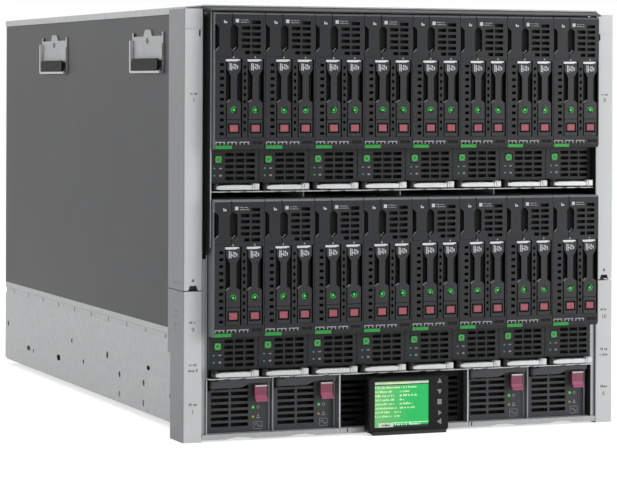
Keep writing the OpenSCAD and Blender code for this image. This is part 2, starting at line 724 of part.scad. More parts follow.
// Carriage behind the display: back plate with two hinge arms, and a runner that hooks the sill
module display_carriage() color("#303032") at_front() {
    y0 = display_y1 + 0.5;
    y1 = y0 + 2;
    plate_top = hinge_z - arm_r - 0.7;
    x0 = display_x + 6;
    x1 = display_x + display_w - 6;
    difference() {
        union() {
            plate_y(y0, y1) translate([x0, display_z + 5])
                round_rect(x1 - x0, plate_top - display_z - 5, 3);
            for (x = arm_x) translate([display_x + x - arm_w / 2, 0, 0]) plate_x(0, arm_w) {
                translate([hinge_y, hinge_z]) circle(arm_r);
                translate([hinge_y, hinge_z - arm_r]) square([y1 - hinge_y, 2 * arm_r]);
                translate([y0, plate_top - 3]) square([y1 - y0, 2 * arm_r + 3]);
            }
        }
        for (x = arm_x) translate([display_x + x - arm_w, hinge_y, hinge_z])
            rotate([0, 90, 0]) cylinder(h = 2 * arm_w, r = hinge_r + pin_gap);
        plate_y(y0 - 1, y1 + 1) translate([x0 + 24, display_z + 16])
            round_rect(x1 - x0 - 48, 18, 3);
    }
    span_box([x0 + 4, y0, sill_z - 1.6], [x1 - 4, y1, display_z + 8]);
    span_box([x0 + 4, y0, sill_z - 1.6], [x1 - 4, sill_t + 1.7, sill_z - 0.4]);
    span_box([x0 + 4, sill_t + 0.4, sill_z - 1.6], [x1 - 4, sill_t + 1.7, sill_z + 2.6]);
}

// Tilting display: black body with a screen window, five keys, a lip and two hinge pins
module status_display() color("#151517") at_front() {
    y0 = display_y1 - display_t;
    notch = arm_w + 1;
    difference() {
        union() {
            plate_y(y0 + 1, display_y1) translate([display_x, display_z])
                round_rect(display_w, display_h, 4);
            plate_y(y0, y0 + 1 + eps) translate([display_x + 1, display_z + 1])
                round_rect(display_w - 2, display_h - 2, 3.4);
        }
        plate_y(y0 - 1, y0 + 1.2) translate([display_x + 8, display_z + (display_h - screen_h) / 2])
            square([screen_w, screen_h]);
        for (x = arm_x) span_box(
            [display_x + x - notch / 2, y0 + 2.4, hinge_z - 4.6],
            [display_x + x + notch / 2, display_y1 + 1, display_z + display_h + 1]);
    }
    for (x = arm_x) translate([display_x + x - notch / 2 - eps, hinge_y, hinge_z])
        rotate([0, 90, 0]) cylinder(h = notch + 2 * eps, r = hinge_r);
    plate_y(y0 - 0.6, y0 + eps) translate([display_x + screen_w + 21, display_z + display_h / 2]) {
        for (k = [0 : 3]) translate([0, [23, 12, -13, -24][k]])
            rotate([90, -90, 0, 180][k]) circle(3.6, $fn = 3);
        square([6, 6], center = true);
    }
    plate_y(y0 - 3, y0 + 3) translate([display_x + 4, display_z - 1.2]) square([display_w - 8, 3.4]);
}

// ---- inside and rear -----------------------------------------------------

fan_n = 5;
upper_fan_z = cover_z - fan_h - 3;
switch_rows = 4;
switch_pitch = switch_h + 2;
switch_z = upper_fan_z - 3 - switch_rows * switch_pitch;
manager_z = switch_z - switch_pitch;
lower_fan_z = manager_z - fan_h - 3;
inlet_z = pan_z + 2;
inlet_h = lower_fan_z - inlet_z - 3;
fan_pitch = (2 * inner_w - 4) / fan_n;
fan_w = fan_pitch - 3;
switch_w = inner_w - 12;
port_pitch = 80; // between the midplane's rear connectors

// Board between the front bays and the rear modules, with a connector for every blade
module midplane() color("#1f4d33") at_front() {
    difference() {
        span_box([-inner_w + sheet_t + 0.1, midplane_y, row_2_z - 2],
                 [inner_w - sheet_t - 0.1, midplane_y + midplane_t, cover_z - 2]);
        for (i = [0 : 2 * columns - 1]) plate_y(midplane_y - 1, midplane_y + midplane_t + 1)
            translate([col_x(i) + 8, row_z(i) + vent_z + 8]) square([blade_w - 16, 72]);
    }
    for (i = [0 : 2 * columns - 1], z = plug_z)
        span_box([col_x(i) + 10, midplane_y - 3.4, row_z(i) + z - 2],
                 [col_x(i) + 44, midplane_y + eps, row_z(i) + z + 18]);
    for (k = [-2 : 2]) span_box([k * port_pitch - 24, midplane_y + midplane_t - eps, switch_z + 20],
                                [k * port_pitch + 24, midplane_y + midplane_t + 12, switch_z + 90]);
}

// Frame of the rear bays: outer box and the walls between the modules, one profile
module rear_cage() color("darkgray") at_front() {
    z0 = inlet_z - 2;
    plate_y(rear_y0, body_d - 2) difference() {
        translate([-inner_w + sheet_t + 0.1, z0])
            square([2 * inner_w - 2 * sheet_t - 0.2, cover_z - z0]);
        for (i = [0 : fan_n - 1], z = [upper_fan_z, lower_fan_z])
            translate([(i - fan_n / 2) * fan_pitch + cage_t / 2 + 0.4, z - 0.5])
                square([fan_pitch - cage_t - 0.8, fan_h + 1]);
        for (s = [0, 1], j = [-1 : switch_rows - 1])
            translate([s ? 8 : -switch_w - 9, switch_z + j * switch_pitch - 0.4])
                square([switch_w + 1, switch_h + 0.8]);
        translate([-inner_w + 4, inlet_z]) square([2 * inner_w - 8, inlet_h]);
    }
}

// A fan: housing with a round duct and guard, motor spindle, rotor and pull handle
module fan_module() {
    r = fan_bore / 2;
    y0 = rear_y0 + 12;
    y1 = body_d - 2;
    guard_y = y1 - 4;
    rotor_y = y1 - 44;
    spindle_r = 5;
    hub_r = 17;
    hub_l = 24;
    difference() {
        span_box([-fan_w / 2, y0, 0], [fan_w / 2, y1, fan_h]);
        translate([0, y0 - 1, fan_h / 2]) rotate([-90, 0, 0]) cylinder(h = guard_y - y0 + 1, r = r);
        plate_y(guard_y - 1, y1 + 1) translate([0, fan_h / 2]) for (k = [0 : 2]) difference() {
            circle(r - 2 - k * 9.4);
            circle(r - 9.4 - k * 9.4);
            for (a = [45, 135]) rotate(a) square([2 * r, 2.6], center = true);
        }
    }
    translate([0, rotor_y + 2, fan_h / 2]) rotate([-90, 0, 0])
        cylinder(h = guard_y - rotor_y - 2 + eps, r = spindle_r);
    difference() {
        union() {
            translate([0, rotor_y, fan_h / 2]) rotate([-90, 0, 0]) cylinder(h = hub_l, r = hub_r);
            for (a = [0 : 72 : 359]) translate([0, rotor_y + hub_l / 2, fan_h / 2]) rotate([0, a, 0])
                translate([0, 0, hub_r - 1]) rotate([0, 0, 38])
                    translate([-0.9, -12, 0]) cube([1.8, 24, r - hub_r - 0.6]);
        }
        translate([0, rotor_y - 15, fan_h / 2]) rotate([-90, 0, 0])
            cylinder(h = hub_l + 30, r = spindle_r + 0.1);
    }
    translate([-fan_w / 2 + 6, 0, fan_h / 2]) {
        for (s = [-1, 1]) span_box([0, y1 - eps, s * 11 - 3], [5, y1 + 18, s * 11 + 3]);
        span_box([0, y1 + 15, -14], [5, y1 + 20, 14]);
    }
}

module fan_modules() color("#3a3a3c") at_front() {
    for (i = [0 : fan_n - 1], z = [upper_fan_z, lower_fan_z])
        translate([(i - (fan_n - 1) / 2) * fan_pitch, 0, z]) fan_module();
}

socket_w = 14;
socket_h = 12;
socket_d = 13;

// Flat rear module: case with a cam lever, and sockets at the x positions given
module flat_module(sockets) {
    y0 = rear_y0 + 8;
    y1 = body_d - 2;
    difference() {
        span_box([0, y0, 0], [switch_w, y1, switch_h]);
        for (x = sockets) plate_y(y1 - socket_d, y1 + 1) translate([x, (switch_h - socket_h) / 2])
            square([socket_w, socket_h]);
        span_box([2, y0 + 2, 2], [switch_w - 2, y1 - socket_d - 2, switch_h - 2]);
        plate_y(y1 - 1.2, y1 + 1) translate([switch_w - 60, 6]) cells(4, 2, 9, 6, 12, 9);
    }
    span_box([4, y1 - eps, 4], [9, y1 + 12, switch_h - 4]);
    span_box([4, y1 + 9, 4], [18, y1 + 12, switch_h - 4]);
}

// Two network modules in the top row, and covers of the same form in the bays that are free
module interconnect_modules() color("#8d9093") at_front() {
    for (s = [0, 1], j = [0 : switch_rows - 1])
        translate([s ? 8.5 : -switch_w - 8.5, 0, switch_z + j * switch_pitch])
            flat_module(j == switch_rows - 1 ? [26, 46, 66, 86] : []);
}

// The two management modules, each with two sockets
module management_modules() color("#75787b") at_front() {
    for (s = [0, 1]) translate([s ? 8.5 : -switch_w - 8.5, 0, manager_z]) flat_module([30, 54]);
}

inlet_n = 6;
inlet_w = 32;
inlet_d = 26;

// Panel with six mains inlets and the exhaust grilles of the power supplies
module power_input_panel() color("#5a5c5f") at_front() {
    y1 = body_d - 2;
    pitch = (2 * inner_w - 12) / inlet_n;
    h = inlet_h - 1;
    difference() {
        span_box([-inner_w + 4.5, y1 - 40, inlet_z + 0.5], [inner_w - 4.5, y1, inlet_z + 0.5 + h]);
        span_box([-inner_w + 7, y1 - 41, inlet_z + 3], [inner_w - 7, y1 - 30, inlet_z + h - 2]);
        for (i = [0 : inlet_n - 1]) {
            x = (i - (inlet_n - 1) / 2) * pitch;
            plate_y(y1 - inlet_d, y1 + 1) translate([x - inlet_w / 2, inlet_z + 6])
                round_rect(inlet_w, 24, 3);
            plate_y(y1 - 31, y1 + 1) translate([x - 27, inlet_z + 38]) cells(2, 5, 25, 5, 29, 9);
        }
    }
    for (i = [0 : inlet_n - 1], p = [-8, 0, 8])
        translate([(i - (inlet_n - 1) / 2) * pitch + p, 0, inlet_z + (p == 0 ? 22 : 13)])
            span_box([-1, y1 - inlet_d - eps, -2.5], [1, y1 - 8, 2.5]);
}

// ---- lift handles --------------------------------------------------------

// Bracket pressed from plate, with a hooked top, a plunger tab and a moulded grip
module lift_handle() {
    w = handle_w;
    h = handle_h;
    x0 = -half_w;
    plate = 1.6;
    wall = 9;
    grip_t = 6;
    hook_h = 12;
    plate_x(x0 - plate, x0) difference() {
        union() {
            translate([-w / 2, 0]) round_rect(w, h - 7, 7);
            polygon([[-16, h - 8], [-9, h], [9, h], [16, h - 8]]);
            for (s = [-1, 1]) translate([s * (w / 2 - 2.4), h - 10]) square([4.8, 14], center = true);
        }
        translate([0, h - hook_h]) circle(3.2);
    }
    plate_x(x0 - wall, x0 - plate + eps) difference() {
        translate([-w / 2, 0]) round_rect(w, h - 7, 7);
        translate([-w / 2 + plate, plate]) round_rect(w - 2 * plate, h, 6);
        translate([-w / 2 - 1, h - 15]) square([w + 2, 12]);
    }
    translate([x0 - 4.2, 0, h - hook_h]) rotate([0, 90, 0]) cylinder(h = 4.2 + sheet_t + 1, r = 3);
    translate([x0 - handle_off, 0, 0]) {
        plate_x(0, grip_t) translate([-w / 2 + plate + 0.4, 3]) round_rect(w - 2 * plate - 0.8, 13, 5);
        for (s = [-1, 1]) plate_x(grip_t - eps, handle_off - plate + eps)
            translate([s * (w / 2 - 7) - 3, 5]) square([6, 9]);
    }
    for (s = [-1, 1]) translate([0, s * (w / 2 - 9), 0])
        span_box([x0 - eps, -2, h - 14], [x0 + sheet_t + 1, 2, h - 7]);
}

module lift_handles() color("silver") at_front() both_sides() {
    for (y = handle_y) translate([0, y, handle_z]) lift_handle();
}

// ---- what is drawn -------------------------------------------------------

base_pan();
left_side_panel();
right_side_panel();
lower_side_sheets();
top_cover();
front_frame();
left_bezel();
right_bezel();
rack_ears();
bay_shelves();
power_cage();
midplane();
rear_cage();
fan_modules();
interconnect_modules();
management_modules();
power_input_panel();
lift_handles();
display_carriage();
status_display();
for (i = [0 : 2 * columns - 1]) {
    blade(i);
    blade_lever(i);
}
for (k = [0 : 3]) {
    power_supply(k);
    power_supply_handle(k);
}
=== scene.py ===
"""Ten-unit blade enclosure: its finishes, its small parts, the studio and the camera.

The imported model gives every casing, sheet and lever its shape and place. This script rounds their
edges, gives them their finishes, and adds the lamps, prints, keys and labels that sit on them.
"""
from __future__ import annotations

import json
import logging
import math
import random
from dataclasses import dataclass, field
from enum import Enum
from typing import Callable, Optional, Sequence

import bmesh
import bpy
from mathutils import Matrix, Vector

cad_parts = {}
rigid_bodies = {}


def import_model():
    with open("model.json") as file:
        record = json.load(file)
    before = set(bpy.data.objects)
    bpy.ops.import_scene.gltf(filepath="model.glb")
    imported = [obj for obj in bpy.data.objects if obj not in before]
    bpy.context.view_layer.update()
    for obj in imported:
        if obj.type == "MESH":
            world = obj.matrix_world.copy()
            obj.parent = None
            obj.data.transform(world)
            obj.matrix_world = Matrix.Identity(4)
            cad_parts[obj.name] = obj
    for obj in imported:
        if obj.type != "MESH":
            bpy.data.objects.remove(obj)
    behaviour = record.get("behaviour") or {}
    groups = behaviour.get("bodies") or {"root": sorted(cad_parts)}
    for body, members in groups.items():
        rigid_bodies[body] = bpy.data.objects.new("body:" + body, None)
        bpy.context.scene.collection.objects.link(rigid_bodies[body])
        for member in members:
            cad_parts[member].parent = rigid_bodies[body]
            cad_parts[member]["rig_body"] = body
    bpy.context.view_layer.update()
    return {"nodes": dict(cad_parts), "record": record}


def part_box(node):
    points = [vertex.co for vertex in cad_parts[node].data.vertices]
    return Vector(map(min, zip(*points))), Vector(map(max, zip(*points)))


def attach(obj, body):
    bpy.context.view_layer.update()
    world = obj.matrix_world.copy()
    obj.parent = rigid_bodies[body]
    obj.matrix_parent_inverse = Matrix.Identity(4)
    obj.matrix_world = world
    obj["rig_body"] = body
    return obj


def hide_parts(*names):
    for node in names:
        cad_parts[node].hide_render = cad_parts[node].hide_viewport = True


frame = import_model()

LOG = logging.getLogger("enclosure")
MM = 0.001
FRONT_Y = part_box("left_bezel")[0].y


# ---- colour and node helpers ------------------------------------------------


def linear(code: str) -> tuple[float, float, float, float]:
    """Turn an sRGB hex colour into linear light.

    Args:
        code: the colour as "#rrggbb".

    Returns:
        Red, green, blue and an alpha of 1.
    """
    out = []
    for start in (1, 3, 5):
        value = int(code[start:start + 2], 16) / 255
        out.append(value / 12.92 if value <= 0.04045 else ((value + 0.055) / 1.055) ** 2.4)
    return out[0], out[1], out[2], 1.0


def add(tree: bpy.types.NodeTree, kind: str, settings: Optional[dict] = None,
        inputs: Optional[dict] = None) -> bpy.types.Node:
    """Add a node with its settings, values and links.

    Args:
        tree: the node tree to add to.
        kind: the node's type name, such as "ShaderNodeBump".
        settings: attributes of the node.
        inputs: a value, or an output socket to link, for each input by name or index.

    Returns:
        The new node.
    """
    node = tree.nodes.new(kind)
    for name, value in (settings or {}).items():
        setattr(node, name, value)
    for name, value in (inputs or {}).items():
        socket = node.inputs[name]
        if isinstance(value, bpy.types.NodeSocket):
            tree.links.new(value, socket)
        else:
            socket.default_value = value
    return node


# ---- finishes ---------------------------------------------------------------


@dataclass(frozen=True)
class Finish:
    """A surface as it is made: its colour, its sheen and its fine texture."""

    name: str
    colour: str
    roughness: float = 0.5
    metallic: float = 0.0
    coat: float = 0.0
    ior: float = 1.5

    def material(self) -> bpy.types.Material:
        """The material of this finish, made once."""
        found = bpy.data.materials.get(self.name)
        if found:
            return found
        made = bpy.data.materials.new(self.name)
        made.use_nodes = True
        tree = made.node_tree
        tree.nodes.clear()
        shader = add(tree, "ShaderNodeBsdfPrincipled", inputs={
            "Base Color": linear(self.colour), "Roughness": self.roughness,
            "Metallic": self.metallic, "Coat Weight": self.coat, "IOR": self.ior})
        add(tree, "ShaderNodeOutputMaterial", inputs={"Surface": shader.outputs[0]})
        self.dress(tree, shader)
        return made

    def dress(self, tree: bpy.types.NodeTree, shader: bpy.types.Node) -> None:
        """Add the fine texture; a plain finish has none."""

    def shades(self, tree: bpy.types.NodeTree, factor: bpy.types.NodeSocket, spread: float,
               low: float = 0.3, high: float = 0.7) -> bpy.types.NodeSocket:
        """Vary the colour between a darker and a lighter shade.

        Args:
            tree: the material's node tree.
            factor: what drives the variation.
            spread: how far each shade lies from the colour, as a share of it.
            low: the factor at which the dark shade starts.
            high: the factor at which the light shade is reached.

        Returns:
            The colour socket.
        """
        base = linear(self.colour)
        ramp = add(tree, "ShaderNodeValToRGB", inputs={"Fac": factor})
        for stop, place, share in zip(ramp.color_ramp.elements, (low, high), (1 - spread, 1 + spread)):
            stop.position = place
            stop.color = tuple(min(1.0, part * share) for part in base[:3]) + (1.0,)
        return ramp.outputs["Color"]

    def relief(self, tree: bpy.types.NodeTree, shader: bpy.types.Node, gloss: bpy.types.NodeSocket,
               swing: float, height: bpy.types.NodeSocket, depth_mm: float, strength: float) -> None:
        """Vary the roughness and raise the fine texture.

        Args:
            tree: the material's node tree.
            shader: the shader to dress.
            gloss: what drives the roughness.
            swing: how far the roughness strays from its own value.
            height: the height of the texture.
            depth_mm: how deep the texture is.
            strength: the share of that depth that shows.
        """
        rough = add(tree, "ShaderNodeMapRange", inputs={
            "Value": gloss, "To Min": self.roughness - swing, "To Max": self.roughness + swing})
        tree.links.new(rough.outputs["Result"], shader.inputs["Roughness"])
        bump = add(tree, "ShaderNodeBump", inputs={
            "Height": height, "Distance": depth_mm * MM, "Strength": strength})
        tree.links.new(bump.outputs["Normal"], shader.inputs["Normal"])


def metres(tree: bpy.types.NodeTree, stretch: Sequence[float] = (1, 1, 1)) -> bpy.types.NodeSocket:
    """Object coordinates, in metres, stretched along the axes."""
    place = add(tree, "ShaderNodeTexCoord")
    mapped = add(tree, "ShaderNodeMapping", inputs={
        "Vector": place.outputs["Object"], "Scale": tuple(stretch)})
    return mapped.outputs["Vector"]


@dataclass(frozen=True)
class Moulded(Finish):
    """Moulded ABS with a spark-eroded grain: it breaks a highlight into a soft sheen."""

    grain_mm: float = 0.9  # coarser than a real spark grain, so that it shows
    cloud_mm: float = 60.0
    depth_mm: float = 0.02
    spread: float = 0.08

    def dress(self, tree: bpy.types.NodeTree, shader: bpy.types.Node) -> None:
        """Add the grain, and the slow change of shade of a painted moulding."""
        grain = add(tree, "ShaderNodeTexNoise", inputs={
            "Vector": metres(tree), "Scale": 1 / (self.grain_mm * MM), "Detail": 3.0})
        cloud = add(tree, "ShaderNodeTexNoise", inputs={
            "Vector": metres(tree), "Scale": 1 / (self.cloud_mm * MM), "Detail": 2.0})
        tree.links.new(self.shades(tree, cloud.outputs["Fac"], self.spread), shader.inputs["Base Color"])
        height = grain.outputs["Fac"]
        self.relief(tree, shader, height, 0.06, height, self.depth_mm, 0.6)


@dataclass(frozen=True)
class PowderCoat(Finish):
    """Powder-coated sheet: a faint orange peel that makes its reflections swim a little."""

    peel_mm: float = 1.8
    cloud_mm: float = 140.0
    depth_mm: float = 0.012
    spread: float = 0.05

    def dress(self, tree: bpy.types.NodeTree, shader: bpy.types.Node) -> None:
        """Add the orange peel and a slow change of shade."""
        peel = add(tree, "ShaderNodeTexNoise", inputs={
            "Vector": metres(tree), "Scale": 1 / (self.peel_mm * MM), "Detail": 2.0})
        cloud = add(tree, "ShaderNodeTexNoise", inputs={
            "Vector": metres(tree), "Scale": 1 / (self.cloud_mm * MM), "Detail": 3.0})
        tree.links.new(self.shades(tree, cloud.outputs["Fac"], self.spread), shader.inputs["Base Color"])
        self.relief(tree, shader, cloud.outputs["Fac"], 0.05, peel.outputs["Fac"], self.depth_mm, 0.5)


@dataclass(frozen=True)
class RolledSheet(Finish):
    """Zinc-plated rolled steel: long faint streaks along the rolling direction, and small spangles."""

    streak_mm: float = 1.4
    depth_mm: float = 0.006
    run: tuple[float, float, float] = (1.0, 0.03, 1.0)
    spangle_mm: float = 9.0
    spread: float = 0.08

    def dress(self, tree: bpy.types.NodeTree, shader: bpy.types.Node) -> None:
        """Add the streaks to the roughness and the spangles to the shade."""
        streak = add(tree, "ShaderNodeTexNoise", inputs={
            "Vector": metres(tree, self.run), "Scale": 1 / (self.streak_mm * MM), "Detail": 4.0})
        spangle = add(tree, "ShaderNodeTexVoronoi", inputs={
            "Vector": metres(tree), "Scale": 1 / (self.spangle_mm * MM)})
        blend = add(tree, "ShaderNodeMix", {"data_type": "FLOAT"}, {
            "Factor": 0.35, "A": streak.outputs["Fac"], "B": spangle.outputs["Distance"]})
        tree.links.new(self.shades(tree, blend.outputs["Result"], self.spread), shader.inputs["Base Color"])
        height = streak.outputs["Fac"]
        self.relief(tree, shader, height, 0.1, height, self.depth_mm, 0.4)


@dataclass(frozen=True)
class Lamp(Finish):
    """A clear lens with a diode behind it: it glows by itself and keeps a glossy skin."""

    glow: float = 1.0

    def dress(self, tree: bpy.types.NodeTree, shader: bpy.types.Node) -> None:
        """Let the lens shine in its own colour, a little unevenly."""
        patch = add(tree, "ShaderNodeTexNoise", inputs={
            "Vector": metres(tree), "Scale": 1 / (2.5 * MM), "Detail": 1.0})
        tree.links.new(self.shades(tree, patch.outputs["Fac"], 0.2), shader.inputs["Emission Color"])
        shader.inputs["Emission Strength"].default_value = self.glow


@dataclass(frozen=True)
class Print(Finish):
    """Screen-printed ink: flat, matte and slightly thin in places."""

    def dress(self, tree: bpy.types.NodeTree, shader: bpy.types.Node) -> None:
        """Let the ink thin out a little in a fine speckle."""
        speck = add(tree, "ShaderNodeTexNoise", inputs={
            "Vector": metres(tree), "Scale": 1 / (0.4 * MM), "Detail": 2.0})
        tree.links.new(self.shades(tree, speck.outputs["Fac"], 0.06), shader.inputs["Base Color"])


@dataclass(frozen=True)
class Screen(Finish):
    """A lit liquid-crystal screen: brighter at one side."""

    far_colour: str = "#2fb868"
    glow: float = 0.8
    width_mm: float = 55.0
    left_m: float = 0.0

    def dress(self, tree: bpy.types.NodeTree, shader: bpy.types.Node) -> None:
        """Fade the light across the screen."""
        place = add(tree, "ShaderNodeSeparateXYZ", inputs={"Vector": metres(tree)})
        across = add(tree, "ShaderNodeMapRange", inputs={
            "Value": place.outputs["X"], "From Min": self.left_m,
            "From Max": self.left_m + self.width_mm * MM})
        fade = add(tree, "ShaderNodeValToRGB", inputs={"Fac": across.outputs["Result"]})
        fade.color_ramp.elements[0].color = linear(self.colour)
        fade.color_ramp.elements[1].color = linear(self.far_colour)
        fade.color_ramp.elements[1].position = 0.75
        tree.links.new(fade.outputs["Color"], shader.inputs["Emission Color"])
        tree.links.new(fade.outputs["Color"], shader.inputs["Base Color"])
        shader.inputs["Emission Strength"].default_value = self.glow


# Spark-eroded charcoal ABS of the blades: nearly black; a lighter copy is painted highlight on the top
# chamfer, and a pale copy is a painted glint on the carriers' shoulders.
CHARCOAL = Moulded("charcoal_abs", "#252628", 0.42, ior=1.34, grain_mm=0.8)
CHARCOAL_TOP_HIGHLIGHT = Moulded("charcoal_abs_rubbed_edge", "#68696b", 0.35, ior=1.4, grain_mm=0.8)
GLINT = Moulded("drive_carrier_abs_glint", "#b9babb", 0.35, grain_mm=0.8)
# Near black on the blade casings behind their faces: painted shade that swallows the light of the gaps.
SLED_SHADE_BLACK = PowderCoat("black_coated_sheet", "#0b0b0c", 0.6, ior=1.25)
# The drive carriers: the same moulding a little lighter, and black where a groove shades it.
CARRIER = Moulded("drive_carrier_abs", "#2b2c2e", 0.4, ior=1.36, grain_mm=0.6)
CARRIER_DARK = Moulded("drive_carrier_groove", "#050506", 0.7, ior=1.2)
# Port wine mouldings mark what a hand pulls: a clear, slightly glossy red; a lighter copy is painted
# highlight on a latch's lip, and a darker one painted shade on a key's bevel.
WINE = Moulded("port_wine_abs", "#8b3450", 0.34, grain_mm=1.2, coat=0.2)
WINE_LIP_HIGHLIGHT = Moulded("port_wine_abs_lip", "#b2597a", 0.3, grain_mm=1.2, coat=0.2)
WINE_KEY = Moulded("port_wine_key", "#a85560", 0.45, ior=1.4, grain_mm=1.2)
WINE_KEY_BEVEL_SHADE = Moulded("port_wine_key_bevel", "#5c1c28", 0.45, ior=1.4, grain_mm=1.2)
# Satin powder coat of the side panels: even, and faintly mirror-like at a low angle.
SATIN_DARK = PowderCoat("satin_charcoal_coat", "#3b3c3e", 0.45, ior=1.3)
# Zinc-plated rolled sheet, unpainted: pale, streaked along its run, hardly metallic to the eye; the bright
# one also paints highlights on front edges and lips.
LIGHT_SHEET = RolledSheet("light_zinc_sheet", "#b4b5b6", 0.5, metallic=0.25)
BRIGHT_ZINC_AND_HIGHLIGHT = RolledSheet("bright_zinc_trim", "#d2d3d4", 0.42, metallic=0.2)
SILL_SHEET = RolledSheet("zinc_sill_sheet", "#b2b3b4", 0.45, metallic=0.2)
# Bezels, painted silver over smooth ABS: bright from the front, with a grey copy as painted shade where they
# turn away.
SILVER_ABS = Moulded("silver_painted_abs", "#d0d1d2", 0.42, grain_mm=0.7, depth_mm=0.01, spread=0.02)
SILVER_SIDE_SHADE = Moulded("silver_painted_abs_side", "#7e7f81", 0.45, grain_mm=0.7, depth_mm=0.01,
                      spread=0.02)
# Inner sheets and covers: plain zinc; painted shade on the hood and the cheeks' sides; black covers that
# hide the depth of the bays.
CAGE_SHEET = RolledSheet("plain_zinc_sheet", "#8f9295", 0.5, metallic=0.5)
HOOD_SHADE = PowderCoat("hood_dark_coat", "#232425", 0.42, ior=1.36)
BLANK_BLACK = PowderCoat("black_blank_cover", "#0e0e0f", 0.6, ior=1.25)
# Modules and board at the rear: solder mask, black and grey mouldings, grey coat.
BOARD = Moulded("solder_mask_green", "#1f4d33", 0.35)
BLACK_ABS = Moulded("black_abs", "#19191b", 0.45)
FAN_GREY = Moulded("fan_housing_grey", "#3a3b3d", 0.5)
MODULE_GREY = PowderCoat("module_grey_coat", "#75787b", 0.45)
# Lift handles: pressed steel, with a brighter copy as painted highlight on its rolled rims, round a rubbery
# dark grip whose colour also paints the shade on the bracket's inner wall.
HANDLE_STEEL = RolledSheet("bright_pressed_steel", "#a2a3a4", 0.45, metallic=0.2)
RIM_HIGHLIGHT_STEEL = RolledSheet("bright_rolled_rim", "#c6c7c8", 0.45, metallic=0.2)
GRIP_ABS_AND_WALL_SHADE = Moulded("grip_dark_abs", "#1e1f20", 0.6, ior=1.2)
# The status display: smooth black ABS with a duller lip and grey rubber keys.
DISPLAY_GLOSS = Moulded("display_black_abs", "#101011", 0.4, ior=1.28, depth_mm=0.006)
LIP_GREY = Moulded("display_lip_grey", "#2c2d2e", 0.4, ior=1.36, grain_mm=1.0)
KEY_GREY = Moulded("key_grey_rubber", "#8b8d8f", 0.5)
# Levers, pivots and power supplies: cast silver, blackened steel, dark coat, brass pins.
LEVER_CAST = Moulded("silver_cast_lever", "#cfd0d1", 0.36, metallic=0.3, grain_mm=1.0)
PIVOT_DARK = Moulded("blackened_pivot", "#2b2b2c", 0.4, metallic=0.4)
SUPPLY_COAT = PowderCoat("power_supply_coat", "#3e3f41", 0.5, ior=1.4)
SUPPLY_HANDLE = Moulded("power_handle_grey_abs", "#444547", 0.42, ior=1.4)
BRASS = RolledSheet("drawn_brass_pin", "#b79a5c", 0.3, metallic=1.0)
# Painted shade for the unlit depth behind vents; lenses and buttons that glow; flat screen-printed inks, the
# soft white one also painting glints on the blades' finger-cut chamfers.
VOID = Finish("unlit_inside", "#050505", 0.9)
STATUS_GREEN = Lamp("lit_green_lens", "#1e8230", 0.3, ior=1.4, glow=0.38)
STATUS_BRIGHT = Lamp("bright_green_lens", "#33b84a", 0.3, ior=1.4, glow=0.6)
STATUS_DIM = Lamp("dim_green_lens", "#0c2410", 0.4, ior=1.3, glow=0.1)
BUTTON_LENS = Lamp("frosted_green_button", "#4b6a50", 0.45, ior=1.35, glow=0.1)
TEAL_LAMP = Lamp("teal_lamp", "#2c8a74", 0.3, glow=0.4)
AMBER_LAMP = Lamp("amber_lamp", "#a5923a", 0.4, ior=1.3, glow=0.5)
WHITE_INK = Print("white_ink", "#c8c9cb", 0.6)
SOFT_INK_AND_GLINT = Print("soft_white_ink", "#9fa1a3", 0.6)
GREY_INK = Print("grey_ink", "#5a5c5e", 0.6)


# ---- mesh helpers -----------------------------------------------------------


Chooser = Callable[[Vector, Vector], int]
Shaper = Callable[[Vector], Vector]


def finish_piece(bm: bmesh.types.BMesh, name: str, finishes: Sequence[Finish], body: str,
                 slot: Optional[str] = None) -> bpy.types.Object:
    """Turn a bmesh into a piece that rides on a body.

    Args:
        bm: the shape, in place and in metres; it is freed.
        name: the piece's name.
        finishes: its finishes, in the order of its faces' material indices.
        body: the body that carries it.
        slot: the record's slot for the piece; not used.

    Returns:
        The piece.
    """
    mesh = bpy.data.meshes.new(name)
    bm.to_mesh(mesh)
    bm.free()
    for finish in finishes:
        mesh.materials.append(finish.material())
    piece = bpy.data.objects.new(name, mesh)
    bpy.context.scene.collection.objects.link(piece)
    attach(piece, body)
    LOG.info("%s: %d faces on %s", name, len(mesh.polygons), body)
    return piece


def slot_of(node: str) -> str:
    """The record's material slot of a node."""
    parts = frame["record"]["subparts"]
    return next(part["material_slot"] for part in parts if part["node"] == node)


def refill(bm: bmesh.types.BMesh, plane_y: float) -> None:
    """Lay a flat face anew round its openings, after its corners have moved.

    Args:
        bm: the mesh.
        plane_y: where the face lies along the depth, in metres.
    """
    bmesh.ops.remove_doubles(bm, verts=bm.verts, dist=1e-6)
    flat = [face for face in bm.faces if all(abs(vert.co.y - plane_y) < 1e-5 for vert in face.verts)]
    old = set(flat)
    rim = [edge for edge in bm.edges if sum(face in old for face in edge.link_faces) == 1]
    bmesh.ops.delete(bm, geom=flat, context="FACES")
    made = bmesh.ops.triangle_fill(bm, use_beauty=True, use_dissolve=False, edges=rim,
                                   normal=(0, -1, 0))
    new = [item for item in made["geom"] if isinstance(item, bmesh.types.BMFace)]
    bm.normal_update()
    bmesh.ops.reverse_faces(bm, faces=[face for face in new if face.normal.y > 0])
    inner = [item for item in made["geom"] if isinstance(item, bmesh.types.BMEdge)
             and all(face in new for face in item.link_faces)]
    bmesh.ops.dissolve_limit(bm, angle_limit=math.radians(1), verts=[], edges=inner)


